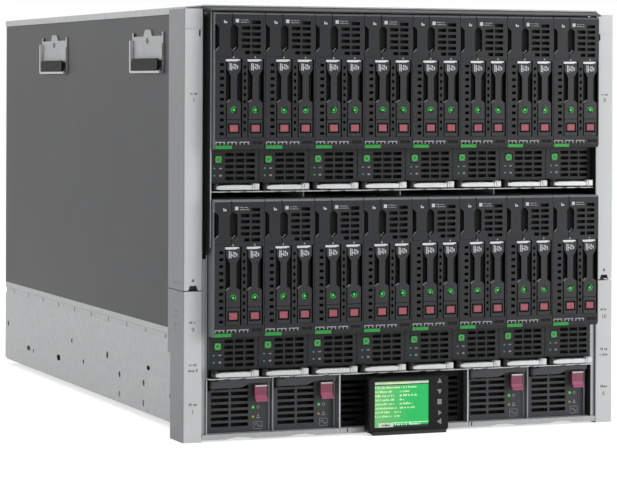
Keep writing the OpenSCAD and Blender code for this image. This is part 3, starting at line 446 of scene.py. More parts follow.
def softened(node: str, finishes: Sequence[Finish], radius_mm: float = 0.3,
             choose: Optional[Chooser] = None, origin: Vector = Vector((0, 0, 0)),
             deep_mm: float = 1e6, reshape: Optional[Shaper] = None,
             refill_y: Optional[float] = None) -> bpy.types.Object:
    """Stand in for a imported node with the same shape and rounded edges.

    Args:
        node: the node's name.
        finishes: its finishes.
        radius_mm: the width of the rounding.
        choose: picks the finish of a face from its middle, in millimetres from origin, and its
            normal; the first finish if left out.
        origin: where the chooser's coordinates start, in metres.
        deep_mm: edges further behind the front plane than this stay sharp.
        reshape: moves a corner, given and returned in millimetres from origin.
        refill_y: where a flat face that the reshaping disturbs lies, in millimetres from origin.

    Returns:
        The piece.
    """
    source = frame["nodes"][node]
    bm = bmesh.new()
    bm.from_mesh(source.data)
    bmesh.ops.remove_doubles(bm, verts=bm.verts, dist=1e-6)
    bmesh.ops.dissolve_limit(bm, angle_limit=math.radians(1), verts=bm.verts, edges=bm.edges)
    if reshape:
        for vert in bm.verts:
            vert.co = origin + reshape((vert.co - origin) / MM) * MM
    if refill_y is not None:
        refill(bm, origin.y + refill_y * MM)
    bm.normal_update()
    for face in bm.faces:
        middle = (face.calc_center_median() - origin) / MM
        face.material_index = choose(middle, face.normal) if choose else 0
    limit = FRONT_Y + deep_mm * MM
    sharp = [edge for edge in bm.edges
             if len(edge.link_faces) == 2 and edge.calc_face_angle(0.0) > math.radians(28)
             and min(vert.co.y for vert in edge.verts) < limit]
    bmesh.ops.bevel(bm, geom=sharp, offset=radius_mm * MM, offset_type="OFFSET", segments=2,
                    profile=0.5, affect="EDGES", clamp_overlap=True, material=-1)
    for face in bm.faces:
        face.smooth = face.calc_area() < (2 * MM) ** 2
    piece = finish_piece(bm, node + "_shell", finishes, source["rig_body"], slot_of(node))
    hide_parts(node)
    return piece


INK = 0.06  # how far a print stands off its surface, in millimetres
FINE_INK = 0.05
DARK_PATCH = 0.08  # the same for a patch of painted shade that stands for a hole
SUNK = 0.1  # how far prints and patches reach into the surface
DIGIT_SHARE = 0.73  # a digit's height as a share of the lettering size


class Sketch:
    """Small solids in the local millimetres of one sub-assembly, gathered in one mesh."""

    def __init__(self, origin: Vector) -> None:
        """Start an empty mesh whose local zero lies at origin, in metres."""
        self.origin = origin
        self.bm = bmesh.new()

    def place(self, x: float, y: float, z: float) -> Vector:
        """A point given in local millimetres, in metres."""
        return self.origin + Vector((x, y, z)) * MM

    def brick(self, low: Sequence[float], high: Sequence[float], slot: int = 0,
              round_mm: float = 0.0) -> None:
        """Add a box.

        Args:
            low: its lowest corner.
            high: its highest corner.
            slot: the index of its finish.
            round_mm: the width of its rounded edges.
        """
        start, end = self.place(*low), self.place(*high)
        matrix = Matrix.Translation((start + end) / 2) @ Matrix.Diagonal((*(end - start), 1.0))
        made = bmesh.ops.create_cube(self.bm, size=1.0, matrix=matrix)
        self._paint(made["verts"], slot)
        if round_mm:
            self._round(made["verts"], round_mm, slot)

    def patch(self, low: tuple[float, float], high: tuple[float, float], front: float,
              slot: int = 0, off: float = INK) -> None:
        """Lay a thin rectangle, from low to high in x and z, off a surface that faces the front."""
        self.brick((low[0], front - off, low[1]), (high[0], front + SUNK, high[1]), slot)

    def prism(self, outline: Sequence[tuple[float, float]], front: float, back: float,
              slot: int = 0, round_mm: float = 0.0) -> None:
        """Add an outline in x and z, as deep as from front to back.

        Args:
            outline: the corners in x and z.
            front: the y of its front.
            back: the y of its back.
            slot: the index of its finish.
            round_mm: the width of its rounded edges.
        """
        verts = [self.bm.verts.new(self.place(x, front, z)) for x, z in outline]
        face = self.bm.faces.new(verts)
        made = bmesh.ops.extrude_face_region(self.bm, geom=[face], use_keep_orig=True)
        pushed = [item for item in made["geom"] if isinstance(item, bmesh.types.BMVert)]
        bmesh.ops.translate(self.bm, verts=pushed, vec=Vector((0, (back - front) * MM, 0)))
        faces = dict.fromkeys(linked for vert in verts + pushed for linked in vert.link_faces)
        bmesh.ops.recalc_face_normals(self.bm, faces=list(faces))
        self._paint(verts + pushed, slot)
        if round_mm:
            self._round(verts + pushed, round_mm, slot)

    def disc(self, x: float, z: float, radius: float, front: float, back: float, slot: int = 0,
             steps: int = 24, tip: Optional[float] = None) -> None:
        """Add a round boss that faces the front.

        Args:
            x: its middle.
            z: its middle.
            radius: its radius at the back.
            front: the y of its front.
            back: the y of its back.
            slot: the index of its finish.
            steps: how many sides the circle has.
            tip: its radius at the front, if that differs.
        """
        matrix = (Matrix.Translation(self.place(x, (front + back) / 2, z))
                  @ Matrix.Rotation(math.radians(90), 4, "X"))
        made = bmesh.ops.create_cone(
            self.bm, cap_ends=True, segments=steps, depth=(back - front) * MM, matrix=matrix,
            radius1=radius * MM, radius2=(radius if tip is None else tip) * MM)
        self._paint(made["verts"], slot)

    def ring(self, x: float, z: float, inner: float, outer: float, front: float, back: float,
             slot: int = 0, start: float = 0.0, sweep: float = 360.0) -> None:
        """Add a flat ring, or an arc of one, that faces the front.

        Args:
            x: its middle.
            z: its middle.
            inner: its inner radius.
            outer: its outer radius.
            front: the y of its front.
            back: the y of its back.
            slot: the index of its finish.
            start: the angle at which the arc starts, in degrees.
            sweep: how far the arc goes, in degrees.
        """
        turn = Matrix.Rotation(math.radians(-start), 3, "Y")
        middle = self.place(x, 0, z)
        corners = [self.bm.verts.new(middle + turn @ (Vector((radius, depth, 0)) * MM))
                   for radius, depth in ((inner, front), (outer, front), (outer, back), (inner, back))]
        face = self.bm.faces.new(corners)
        full = sweep >= 360
        section = corners + list(face.edges) + ([] if full else [face])
        kept = set(self.bm.faces) - {face}
        bmesh.ops.spin(self.bm, geom=section, cent=middle, axis=(0, -1, 0), use_merge=full,
                       angle=math.radians(sweep), steps=max(6, round(sweep / 15)))
        if full:
            self.bm.faces.remove(face)
        faces = [made for made in self.bm.faces if made not in kept]
        bmesh.ops.recalc_face_normals(self.bm, faces=faces)
        for face in faces:
            face.material_index = slot

    def numeral(self, text: str, x: float, z: float, height: float, front: float,
                slot: int = 0, turned: bool = False) -> None:
        """Add a printed number, centred at x, with its foot at z.

        Args:
            text: the digits.
            x: its middle.
            z: its foot.
            height: the height of a digit.
            front: the y of the surface it is printed on.
            slot: the index of its finish.
            turned: whether it faces the rear.
        """
        curve = bpy.data.curves.new("numeral", "FONT")
        curve.body = text
        curve.align_x = "CENTER"
        curve.size = height / DIGIT_SHARE * MM
        curve.extrude = 0.04 * MM
        holder = bpy.data.objects.new("numeral", curve)
        mesh = bpy.data.meshes.new_from_object(holder)
        mesh.transform(Matrix.Translation(self.place(x, front, z))
                       @ Matrix.Rotation(math.pi if turned else 0.0, 4, "Z")
                       @ Matrix.Rotation(math.radians(90), 4, "X"))
        kept = set(self.bm.faces)
        self.bm.from_mesh(mesh)
        for face in self.bm.faces:
            if face not in kept:
                face.material_index = slot
        bpy.data.objects.remove(holder)
        bpy.data.curves.remove(curve)
        bpy.data.meshes.remove(mesh)

    def strokes(self, x: float, z: float, length: float, height: float, front: float,
                seed: int, slot: int = 0) -> None:
        """Add a row of plain strokes that reads as fine print from a distance.

        Args:
            x: where the row starts.
            z: the foot of the row.
            length: the length of the row.
            height: the height of the strokes.
            front: the y of the surface.
            seed: varies the strokes.
            slot: the index of their finish.
        """
        chance = random.Random(seed)
        here = x
        while here < x + length:
            wide = height * chance.uniform(0.25, 0.6)
            tall = height * chance.choice((0.7, 0.7, 1.0))
            self.brick((here, front - 0.05, z), (here + wide, front + 0.05, z + tall), slot)
            here += wide + height * chance.choice((0.2, 0.2, 0.25, 0.7))

    def finish(self, verts: Sequence[bmesh.types.BMVert], slot: int, round_mm: float) -> None:
        """Give a solid made from outside its finish and its rounded edges."""
        self._paint(verts, slot)
        self._round(verts, round_mm, slot)

    @staticmethod
    def _paint(verts: Sequence[bmesh.types.BMVert], slot: int) -> None:
        """Give the faces round these vertices a finish."""
        for vert in verts:
            for face in vert.link_faces:
                face.material_index = slot

    def _round(self, verts: Sequence[bmesh.types.BMVert], width_mm: float, slot: int) -> None:
        """Round the edges between these vertices, in the same order in every run."""
        own = set(verts)
        edges = dict.fromkeys(edge for vert in verts for edge in vert.link_edges
                              if edge.other_vert(vert) in own)
        made = bmesh.ops.bevel(self.bm, geom=list(edges), offset=width_mm * MM, offset_type="OFFSET",
                               segments=2, profile=0.5, affect="EDGES", clamp_overlap=True,
                               material=-1)
        for face in made["faces"]:
            face.material_index = slot
            face.smooth = True


# ---- blades -----------------------------------------------------------------


@dataclass
class Blade:
    """One half-height blade: casing, two drive carriers, lamps, prints and the ejector lever."""

    number: int
    proud: float = 18.0
    carrier_x: tuple[float, float] = (12.4, 35.8)
    carrier_w: float = 15.0
    carrier_h: float = 79.0
    carrier_drop: float = 47.5
    carrier_front: float = -18.5
    shoulder: float = 38.0
    key_z: float = 4.6
    key_w: float = 10.4
    key_h: float = 8.4
    lamp_z: float = 27.5
    lamp_r: float = 3.4
    foot_z: float = 8.6
    foot_top: float = 42.6
    mark_drop: float = 45.6
    comb_x: tuple[float, float, float] = (0.3, 13.2, 26.3)
    comb_drop: float = 132.2
    tab_x: tuple = ((40.2, 45.5), (46.1, 51.5))
    tab_drop: float = 133.8
    bar_x: tuple[float, float] = (0.1, 18.2)
    bar_drop: float = 138.6
    glint_drop: float = 39.3
    button: tuple[float, float] = (10.1, 23.3)
    lamp_rows: tuple = ((14.2, 1.9, 0.6), (6.9, 1.6, 0.95))
    pin: tuple[float, float] = (5.2, -4.6)
    lever_reach: float = 46.0
    lever_eye: float = 3.8
    lever_z: float = 1.0
    lever_top: float = 7.4
    lever_low: float = 6.0
    finishes: tuple = (CHARCOAL, CHARCOAL_TOP_HIGHLIGHT, SLED_SHADE_BLACK, CAGE_SHEET, CARRIER, CARRIER_DARK,
                       WINE_KEY, WINE_KEY_BEVEL_SHADE, GLINT)

    @property
    def node(self) -> str:
        """The name of the blade's node and body."""
        return f"blade_{self.number:02d}"

    def build(self) -> None:
        """Make the casing, its lever and the small parts on its face."""
        low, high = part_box(self.node)
        self.origin = Vector((low.x, FRONT_Y, low.z))
        self.height = (high.z - low.z) / MM
        self.carrier_z = self.height - self.carrier_drop - self.carrier_h
        softened(self.node, self.finishes, 0.3, self.choose, self.origin, 12, self.lower_foot)
        self.lever()
        self.face_trim()
        self.foot_trim()

    def lower_foot(self, corner: Vector) -> Vector:
        """Bring the lower edge of the recessed face down to just over the lever."""
        if abs(corner.z - self.foot_z) < 0.3 and corner.y < 1.5 and corner.x > 4:
            corner.z -= 1.0
        return corner

    def lever(self) -> None:
        """Make the ejector lever: a dark eye on the pin, a bowed bar and the block at its end."""
        node = f"blade_lever_{self.number:02d}"
        sketch = Sketch(self.origin)
        (pin_x, pin_y), reach, radius = self.pin, self.lever_reach, self.lever_eye
        end, face = pin_x + reach, pin_y - 5.4
        matrix = Matrix.Translation(sketch.place(pin_x, pin_y, (self.lever_z + self.lever_top) / 2))
        made = bmesh.ops.create_cone(
            sketch.bm, cap_ends=True, segments=28, radius1=radius * MM, radius2=radius * MM,
            depth=(self.lever_top - self.lever_z) * MM, matrix=matrix)
        sketch.finish(made["verts"], 1, 0.4)
        low, top = self.lever_z, self.lever_low
        bar = [(pin_x - 0.4, low + 0.9), (pin_x + 4, low + 0.2), (end - 8.2, low), (end - 8.2, top - 0.3),
               (end - 14, top), (pin_x + 16, top), (pin_x + 6, top - 0.2), (pin_x - 0.4, top - 1.2)]
        sketch.prism(bar, face, pin_y + 1.4, 0, 0.7)
        block = [(end - 8, low), (end, low), (end, self.lever_top), (end - 5.4, self.lever_top),
                 (end - 8, top)]
        sketch.prism(block, face, pin_y + 1.6, 0, 0.6)
        sketch.brick((end - 5.6, face - 0.7, low + 1.2), (end - 1.2, face + 0.2, top + 0.6), 0, 0.3)
        sketch.brick((pin_x + reach / 2 - 3, pin_y - 4.6, top - 0.2),
                     (pin_x + reach / 2 + 3, pin_y - 3, top + 1.0), 1, 0.2)
        piece = finish_piece(sketch.bm, node + "_casting", [LEVER_CAST, PIVOT_DARK],
                             frame["nodes"][node]["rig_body"], slot_of(node))
        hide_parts(node)

    def choose(self, middle: Vector, normal: Vector) -> int:
        """The finish of a face of the casing, as its index in finishes."""
        x, y, z = middle
        if abs(y + self.proud) < 0.03 and normal.y < -0.95:
            return 0
        for left in self.carrier_x:
            mid = left + self.carrier_w / 2
            up = z - self.carrier_z
            if abs(x - mid) < self.carrier_w / 2 + 0.1 and -0.1 < up < self.carrier_h + 0.1 and y < 41:
                over_key = abs(x - mid) < self.key_w / 2 + 0.05 and -0.05 < up - self.key_z
                if over_key and up - self.key_z < self.key_h + 0.05 and y < self.carrier_front - 0.1:
                    # the key's front in its own red, its bevel in a darker red as painted shade
                    return 6 if normal.y < -0.95 else 7
                if y < self.carrier_front + 0.3:
                    return 4
                # a pale copy on the shoulder's upward slope: painted glint
                glint = normal.x < -0.2 and normal.z > 0.4 and self.shoulder - 4 < up < self.shoulder
                return 8 if glint else 5
        if y < 0.1 and z > self.foot_top - 1:
            # the upward top chamfer in lighter charcoal: painted highlight
            if normal.z > 0.3 and z > self.height - 2.2 and y < -self.proud + 1.8:
                return 1
            # the sides of the proud face in near black: painted shade of the gaps between blades
            return 0 if y < -self.proud + 0.5 or (normal.y < -0.3 and y < -15) else 2
        if y < 0.3 and normal.y < -0.9 and z > self.foot_z - 1:
            return 0
        # near black within 10 mm of the front as painted shade, plain sheet further back
        return 2 if y < 10 else 3

    def face_trim(self) -> None:
        """Make the lamps, bars, prints, painted glints and the painted-shade backing of the proud upper
        face.
        """
        sketch = Sketch(self.origin)
        front, top = -self.proud, self.height
        for index, left in enumerate(self.carrier_x):
            self.carrier_trim(sketch, left, self.number * 2 + index)
            mark_x, mark_z = left + self.carrier_w / 2 - 1, top - self.mark_drop
            sketch.patch((mark_x, mark_z - 0.6), (mark_x + 1.6, mark_z), front, 4)
            sketch.patch((mark_x + 0.6, mark_z), (mark_x + 1.1, mark_z + 1.0), front, 4)
        for start in self.comb_x:
            self.comb(sketch, start, top - self.comb_drop, front)
        for low, high in self.tab_x:
            # black patches in the tab slots: painted shade
            sketch.patch((low, top - self.tab_drop), (high, top - self.tab_drop + 3.2), front, 5, DARK_PATCH)
        low, high = self.bar_x
        sketch.brick((low, front - 0.5, top - self.bar_drop),
                     (high, front + 1.9, top - self.bar_drop + 3.5), 0, 0.5)
        # soft white slivers along the finger cuts' lower chamfers: painted glints
        for start in (0.4, 18.6):
            foot = top - self.glint_drop
            sketch.prism([(start, foot), (start + 3.5, foot + 3.5), (start + 3.5, foot + 4.1),
                          (start, foot + 0.6)], front - INK, front + SUNK, 6)
        # a black sheet behind the vents: painted shade of the unlit inside
        sketch.brick((3, front + 4, self.foot_top + 6), (51, front + 4.4, top - 3), 5)
        self.label(sketch, front, top)
        finish_piece(sketch.bm, f"{self.node}_face_parts",
                     [STATUS_GREEN, STATUS_BRIGHT, STATUS_DIM, BRIGHT_ZINC_AND_HIGHLIGHT, WHITE_INK, VOID, SOFT_INK_AND_GLINT,
                      CARRIER], self.node, "blade")

    def comb(self, sketch: Sketch, start: float, foot: float, front: float) -> None:
        """Make one comb of the row under the carriers: a rail, its teeth and the gaps in it.

        Args:
            sketch: the mesh to add to.
            start: its left end.
            foot: the foot of its rail.
            front: the y of the blade's face.
        """
        sketch.brick((start, front - 0.25, foot), (start + 10.5, front + 0.2, foot + 1.0), 6, 0.1)
        for tooth in (0.2, 4.6, 9.0):
            sketch.brick((start + tooth, front - 0.2, foot - 1.9),
                         (start + tooth + 1.0, front + 0.2, foot), 6)
        # black patches in the comb's gaps: painted shade
        for gap in (1.7, 6.1):
            sketch.patch((start + gap, foot - 2.2), (start + gap + 2.6, foot), front, 5, DARK_PATCH)

    def label(self, sketch: Sketch, front: float, top: float) -> None:
        """Print a plain mark at the left and a framed plate with fine lines at the right."""
        sketch.patch((9.2, top - 11.2), (10.4, top - 8.2), front, 4)
        sketch.patch((10.8, top - 11.2), (12.6, top - 9.4), front, 4)
        for low, high in (((20.2, 12.2), (37.6, 11.9)), ((20.2, 5.0), (37.6, 4.7)),
                          ((20.2, 12.2), (20.5, 4.7)), ((37.3, 12.2), (37.6, 4.7))):
            sketch.patch((low[0], top - low[1]), (high[0], top - high[1]), front, 7, FINE_INK)
        sketch.brick((21.8, front - INK, top - 10.4), (25.4, front + SUNK, top - 6.8), 4, 0.04)
        sketch.strokes(27.0, top - 8.2, 8.4, 1.2, front, self.number, 6)
        sketch.strokes(27.0, top - 10.4, 9.2, 1.2, front, self.number + 40, 6)

    def carrier_trim(self, sketch: Sketch, left: float, seed: int) -> None:
        """Make one carrier's round lamp, white bar and label strokes."""
        face = self.carrier_front
        mid = left + self.carrier_w / 2
        lamp_z = self.carrier_z + self.lamp_z
        head_z = self.carrier_z + self.carrier_h
        sketch.disc(mid, lamp_z, self.lamp_r + 0.3, face - 0.02, face + 0.9, 2)
        turn = 47 * (seed % 9) - 60
        sketch.ring(mid, lamp_z, 2.3, self.lamp_r, face - 0.1, face + 0.5, 0, turn, 220)
        sketch.disc(mid, lamp_z, 1.6, face - 0.15, face + 0.5, 1, tip=1.2)
        bar = head_z - 2.4
        sketch.prism([(left - 1.5, bar + 0.3), (left - 0.4, bar), (left + 10.6, bar),
                      (left + 11.4, bar + 0.7), (left + 13.7, bar + 0.9), (left + 13.7, bar + 2.0),
                      (left + 11.2, bar + 2.4), (left - 1.5, bar + 2.2)],
                     face - 0.55, face + 0.3, 3, 0.15)
        base = head_z - 11.6
        for x, low, high, wide in ((2.8, 0.4, 7.6, 1.1), (4.6, 0.0, 7.2, 0.9), (5.4, 2.8, 4.0, 1.1),
                                   (6.9, 1.6, 4.0, 1.3), (7.1, 4.8, 6.8, 1.0), (8.6, 1.2, 2.6, 1.2),
                                   (8.8, 3.6, 6.6, 1.2), (10.7, 1.8, 5.2, 1.2)):
            sketch.patch((left + x, base + low), (left + x + wide, base + high), face, 4)

    def foot_trim(self) -> None:
        """Make the power button, the small lamps and their marks on the recessed lower face."""
        sketch = Sketch(self.origin)
        x, z = self.button[0], self.foot_z + self.button[1]
        sketch.brick((x - 4.0, -0.5, z - 4.0), (x + 4.0, 0.5, z + 4.0), 1, 0.4)
        sketch.ring(x - 0.3, z + 0.2, 2.1, 2.9, -0.8, -0.4, 0)
        sketch.disc(x - 0.3, z + 0.2, 1.2, -0.7, -0.4, 6, 12)
        sign_x = 12.4
        for up, half, high in self.lamp_rows:
            lamp_z = self.foot_z + up
            sketch.disc(5.9, lamp_z, 0.9, -0.2, 0.4, 2, 12)
            sketch.prism([(sign_x - half, lamp_z), (sign_x - half / 2, lamp_z - high),
                          (sign_x + half / 2, lamp_z - high), (sign_x + half, lamp_z),
                          (sign_x + half / 2, lamp_z + high), (sign_x - half / 2, lamp_z + high)],
                         -INK, SUNK, 3)
        # a black sheet behind the lower face: painted shade of the unlit inside
        sketch.brick((3, 5, self.foot_z + 2), (51, 5.4, self.foot_top - 2), 4)
        finish_piece(sketch.bm, f"{self.node}_foot_parts",
                     [STATUS_BRIGHT, BUTTON_LENS, TEAL_LAMP, SOFT_INK_AND_GLINT, VOID, STATUS_DIM, STATUS_GREEN],
                     self.node, "blade")


# ---- power supplies ---------------------------------------------------------


@dataclass
class PowerSupply:
    """A power supply: pierced case, burgundy latch, status lamps and the swinging handle."""

    bay: int
    width: float = 70.0
    height: float = 55.0
    recess: float = 10.0
    latch_x: float = 51.0
    latch_z: float = 31.0
    latch_h: float = 16.6
    lamp_in: float = 18.4
    lamp_z: tuple[float, float] = (24.2, 14.5)

    def build(self) -> None:
        """Make the case, the handle and the small parts on the face."""
        node = f"power_supply_{self.bay}"
        low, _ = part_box(node)
        self.origin = Vector((low.x, FRONT_Y + self.recess * MM, low.z))
        softened(node, [SUPPLY_COAT, WINE, WINE_LIP_HIGHLIGHT, BRIGHT_ZINC_AND_HIGHLIGHT, CAGE_SHEET, PIVOT_DARK], 0.3,
                 self.choose, self.origin, deep_mm=22)
        softened(f"power_supply_handle_{self.bay}", [SUPPLY_HANDLE], 0.5)
        sketch = Sketch(self.origin)
        lamp_x = self.width - self.lamp_in
        green_z, amber_z = self.lamp_z
        sketch.disc(lamp_x, green_z, 1.4, -0.3, 0.6, 1)
        sketch.disc(lamp_x, green_z, 0.9, -0.4, 0.2, 1, 12)
        sketch.disc(lamp_x, amber_z, 1.1, -0.3, 0.6, 2)
        icon_x = lamp_x + 5.4
        sketch.ring(icon_x, green_z, 1.1, 1.6, -INK, SUNK, 3)
        for low_x, high_x, foot, head in ((-1.9, 1.9, 12.8, 13.4), (-1.2, -0.7, 13.4, 15.4),
                                          (0.7, 1.2, 13.4, 15.4), (-0.7, 0.7, 15.4, 16.4)):
            sketch.patch((icon_x + low_x, foot), (icon_x + high_x, head), 0.0, 3)
        self.wave(sketch, lamp_x)
        # a black sheet behind the case's face: painted shade of the unlit inside
        sketch.brick((3, 7, 3), (self.width - 3, 7.4, self.height - 3), 4)
        finish_piece(sketch.bm, f"{node}_face_parts",
                     [STATUS_GREEN, STATUS_BRIGHT, AMBER_LAMP, SOFT_INK_AND_GLINT, VOID], node, "power_supply")

    def wave(self, sketch: Sketch, lamp_x: float) -> None:
        """Print a plain wave in its frame, the sign of alternating current."""
        left, middle, steps = lamp_x + 2.0, 5.7, 9
        for low, high in (((-1.0, 1.8), (7.6, 2.2)), ((-1.0, 9.2), (7.6, 9.6)),
                          ((-1.4, 2.2), (-1.0, 9.2)), ((7.6, 2.2), (8.0, 9.2))):
            sketch.patch((left + low[0], low[1]), (left + high[0], high[1]), 0.0, 3)
        for step in range(steps):
            here = left + 6.4 * step / steps
            rise = 1.5 * math.sin(2 * math.pi * (step + 0.5) / steps)
            sketch.patch((here, middle + rise - 0.35), (here + 0.75, middle + rise + 0.35), 0.0, 3)

    def choose(self, middle: Vector, normal: Vector) -> int:
        """The finish of a face of the case, as its index."""
        x, y, z = middle
        if y < -0.1 and x > self.latch_x - 0.1:
            # the top lip of the latch in bright zinc: painted highlight
            if z > self.latch_z + self.latch_h - 1.9 and y < -6.8:
                return 3
            # the latch's lower lip in a lighter red: painted highlight
            return 2 if z < self.latch_z + 5.4 and normal.y < -0.2 else 1
        if y < -0.1:
            return 5
        if y < 0.1 and x > self.width - 2.4:
            return 4
        return 0 if y < 4 else 4


# ---- the rest of the front --------------------------------------------------


@dataclass
class StatusDisplay:
    """The tilting display: black body, lit screen with plain strokes for its lines, five keys."""

    bottom: float = 1.8
    front: float = -14.4
    screen: tuple[float, float, float, float] = (-40.0, 8.05, 61.5, 47.6)
    drawn: tuple[float, ...] = (-47.0, -39.0, 16.0, 29.0, 44.0)
    real: tuple[float, ...] = (-47.0, -40.0, 21.5, 33.6, 44.0)
    key_middle: float = 31.05
    key_raise: float = 1.3
    low_key: tuple[float, float] = (33.2, 11.8)

    def build(self) -> None:
        """Make the carriage, the body and the screen."""
        origin = Vector((0, FRONT_Y, 0))
        softened("display_carriage", [BLACK_ABS])
        softened("status_display", [DISPLAY_GLOSS, KEY_GREY, LIP_GREY], 0.5, self.choose, origin,
                 reshape=self.widen, refill_y=self.front)
        left, bottom, wide, high = self.screen
        glass = self.front + 1.1
        sketch = Sketch(origin)
        sketch.brick((left, glass, bottom), (left + wide, glass + 0.3, bottom + high), 0)
        key_x, key_z = self.low_key
        sketch.prism([(key_x - 2.8, key_z), (key_x + 2.3, key_z - 3.1), (key_x + 2.3, key_z + 3.1)],
                     self.front - 0.6, self.front + 0.3, 6, 0.15)
        top = bottom + high
        right = left + wide
        sketch.patch((left + 0.6, top - 3.0), (right - 0.2, top - 0.9), glass, 1, FINE_INK)
        sketch.patch((left + 0.6, top - 4.0), (right - 0.2, top - 3.0), glass, 4, FINE_INK)
        sketch.strokes(left + 15.5, top - 2.8, 24, 1.5, glass - 0.06, 5, 3)
        rows = ((46, None), (20, 12), (22, 20), (21, 5), (22, 14), (24, 17), (17, 8), (18, 6))
        for row, (first, second) in enumerate(rows):
            z = top - 7.4 - row * 4.25
            sketch.strokes(left + 0.9, z, first, 2.2, glass - 0.02, 11 + row, 2)
            if second:
                start = left + (28.5 if row < 6 else 22.5)
                sketch.strokes(start, z, second, 2.1, glass - 0.02, 31 + row, 2)
        sketch.patch((left + 4.4, bottom + 0.3), (left + 21.4, bottom + 4.6), glass, 1, FINE_INK)
        sketch.strokes(left + 8.8, bottom + 1.2, 8, 2.0, glass - 0.08, 71, 4)
        sketch.patch((left + 21.6, bottom + 0.1), (right, bottom + 1.8), glass, 4, FINE_INK)
        sketch.patch((left + 21.6, bottom + 4.0), (right, bottom + 4.8), glass, 5, FINE_INK)
        sketch.strokes(left + 23.2, bottom + 1.6, 12.6, 2.4, glass - 0.08, 73, 5)
        sketch.strokes(left + 39.4, bottom + 1.6, 12.6, 2.4, glass - 0.08, 74, 5)
        finish_piece(sketch.bm, "status_screen",
                     [SCREEN, SCREEN_WHITE, SCREEN_TEXT, SCREEN_YELLOW, SCREEN_DARK, SCREEN_PALE,
                      KEY_GREY],
                     "status_display", "display")

    def widen(self, corner: Vector) -> Vector:
        """Widen the screen's recess and move the keys to the right on the front face."""
        beside_keys = not 24 < corner.x < 36
        if not beside_keys and corner.z < 13 and corner.y < self.front + 0.1:
            if corner.y > self.front - 1.2 and corner.z > 3.3:
                corner.y = self.front
            return corner
        lip = corner.y < self.front - 1.2 or corner.z < (4.5 if beside_keys else 3.3)
        if corner.y < self.front + 2 and corner.z < 58 and not lip:
            spans = zip(self.drawn, self.drawn[1:], self.real, self.real[1:])
            for low, high, new_low, new_high in spans:
                if low < corner.x <= high:
                    if not beside_keys:
                        off = corner.z - self.key_middle
                        corner.z = self.key_middle + self.key_raise + off * (0.94 if off > 0 else 0.88)
                    elif corner.x < 20 and corner.z > 50:
                        corner.z += 1.6
                    share = (corner.x - low) / (high - low)
                    corner.x = new_low + share * (new_high - new_low)
                    break
        return corner

    def choose(self, middle: Vector, _normal: Vector) -> int:
        """The finish of a face of the body: keys, lip or gloss."""
        if middle.z < self.bottom + 2.3 and middle.y < self.front + 3.1:
            return 2
        return 1 if middle.y < self.front - 0.1 else 0


SCREEN = Screen("lit_green_screen", "#5f9d5f", 0.4, ior=1.3, far_colour="#229a50", left_m=-0.04)
SCREEN_WHITE = Lamp("screen_white", "#b4b8b0", 0.4, glow=0.6)
SCREEN_TEXT = Lamp("screen_text", "#b4d2a2", 0.4, glow=0.6)
SCREEN_YELLOW = Lamp("screen_title_text", "#d8d494", 0.4, glow=0.6)
SCREEN_DARK = Lamp("screen_dark", "#12201a", 0.4, glow=0.2)
SCREEN_PALE = Lamp("screen_pale", "#b9d8bd", 0.4, glow=0.6)


class Side(Enum):
    """The two sides of the front."""

    LEFT = -1
    RIGHT = 1


@dataclass
class SideBezel:
    """A silver bezel with its printed bay numbers and arrow."""

    side: Side
    upper: str
    lower: str
    supply: str
    middle: float = 234.6
    number_z: tuple[float, float, float] = (346.0, 112.5, 29.5)
    word_z: tuple[float, ...] = (353.0, 121.0, 78.0, 72.0, 37.6)
    arrow_z: float = 163.5

    def build(self) -> None:
        """Make the bezel and its prints."""
        name = self.side.name.lower() + "_bezel"
        # faces turned away from the front in grey: painted shade
        softened(name, [SILVER_ABS, SILVER_SIDE_SHADE], 0.6,
                 lambda _, normal: 0 if normal.y < -0.7 else 1)
        sketch = Sketch(Vector((self.side.value * self.middle * MM, FRONT_Y, 0)))
        for text, z in zip((self.upper, self.lower, self.supply), self.number_z):
            sketch.numeral(text, 0, z, 4.7, 0.0)
        for count, z in enumerate(self.word_z):
            sketch.strokes(-3.8 if count != 3 else -4.8, z, 7.2 if count != 3 else 9.2, 2.8, 0.0,
                           count + self.side.value, 0)
        sketch.prism([(-1.7, self.arrow_z), (1.7, self.arrow_z), (0, self.arrow_z + 3.6)], -0.05, 0.1)
        finish_piece(sketch.bm, name + "_print", [GREY_INK], "enclosure", "bezel")


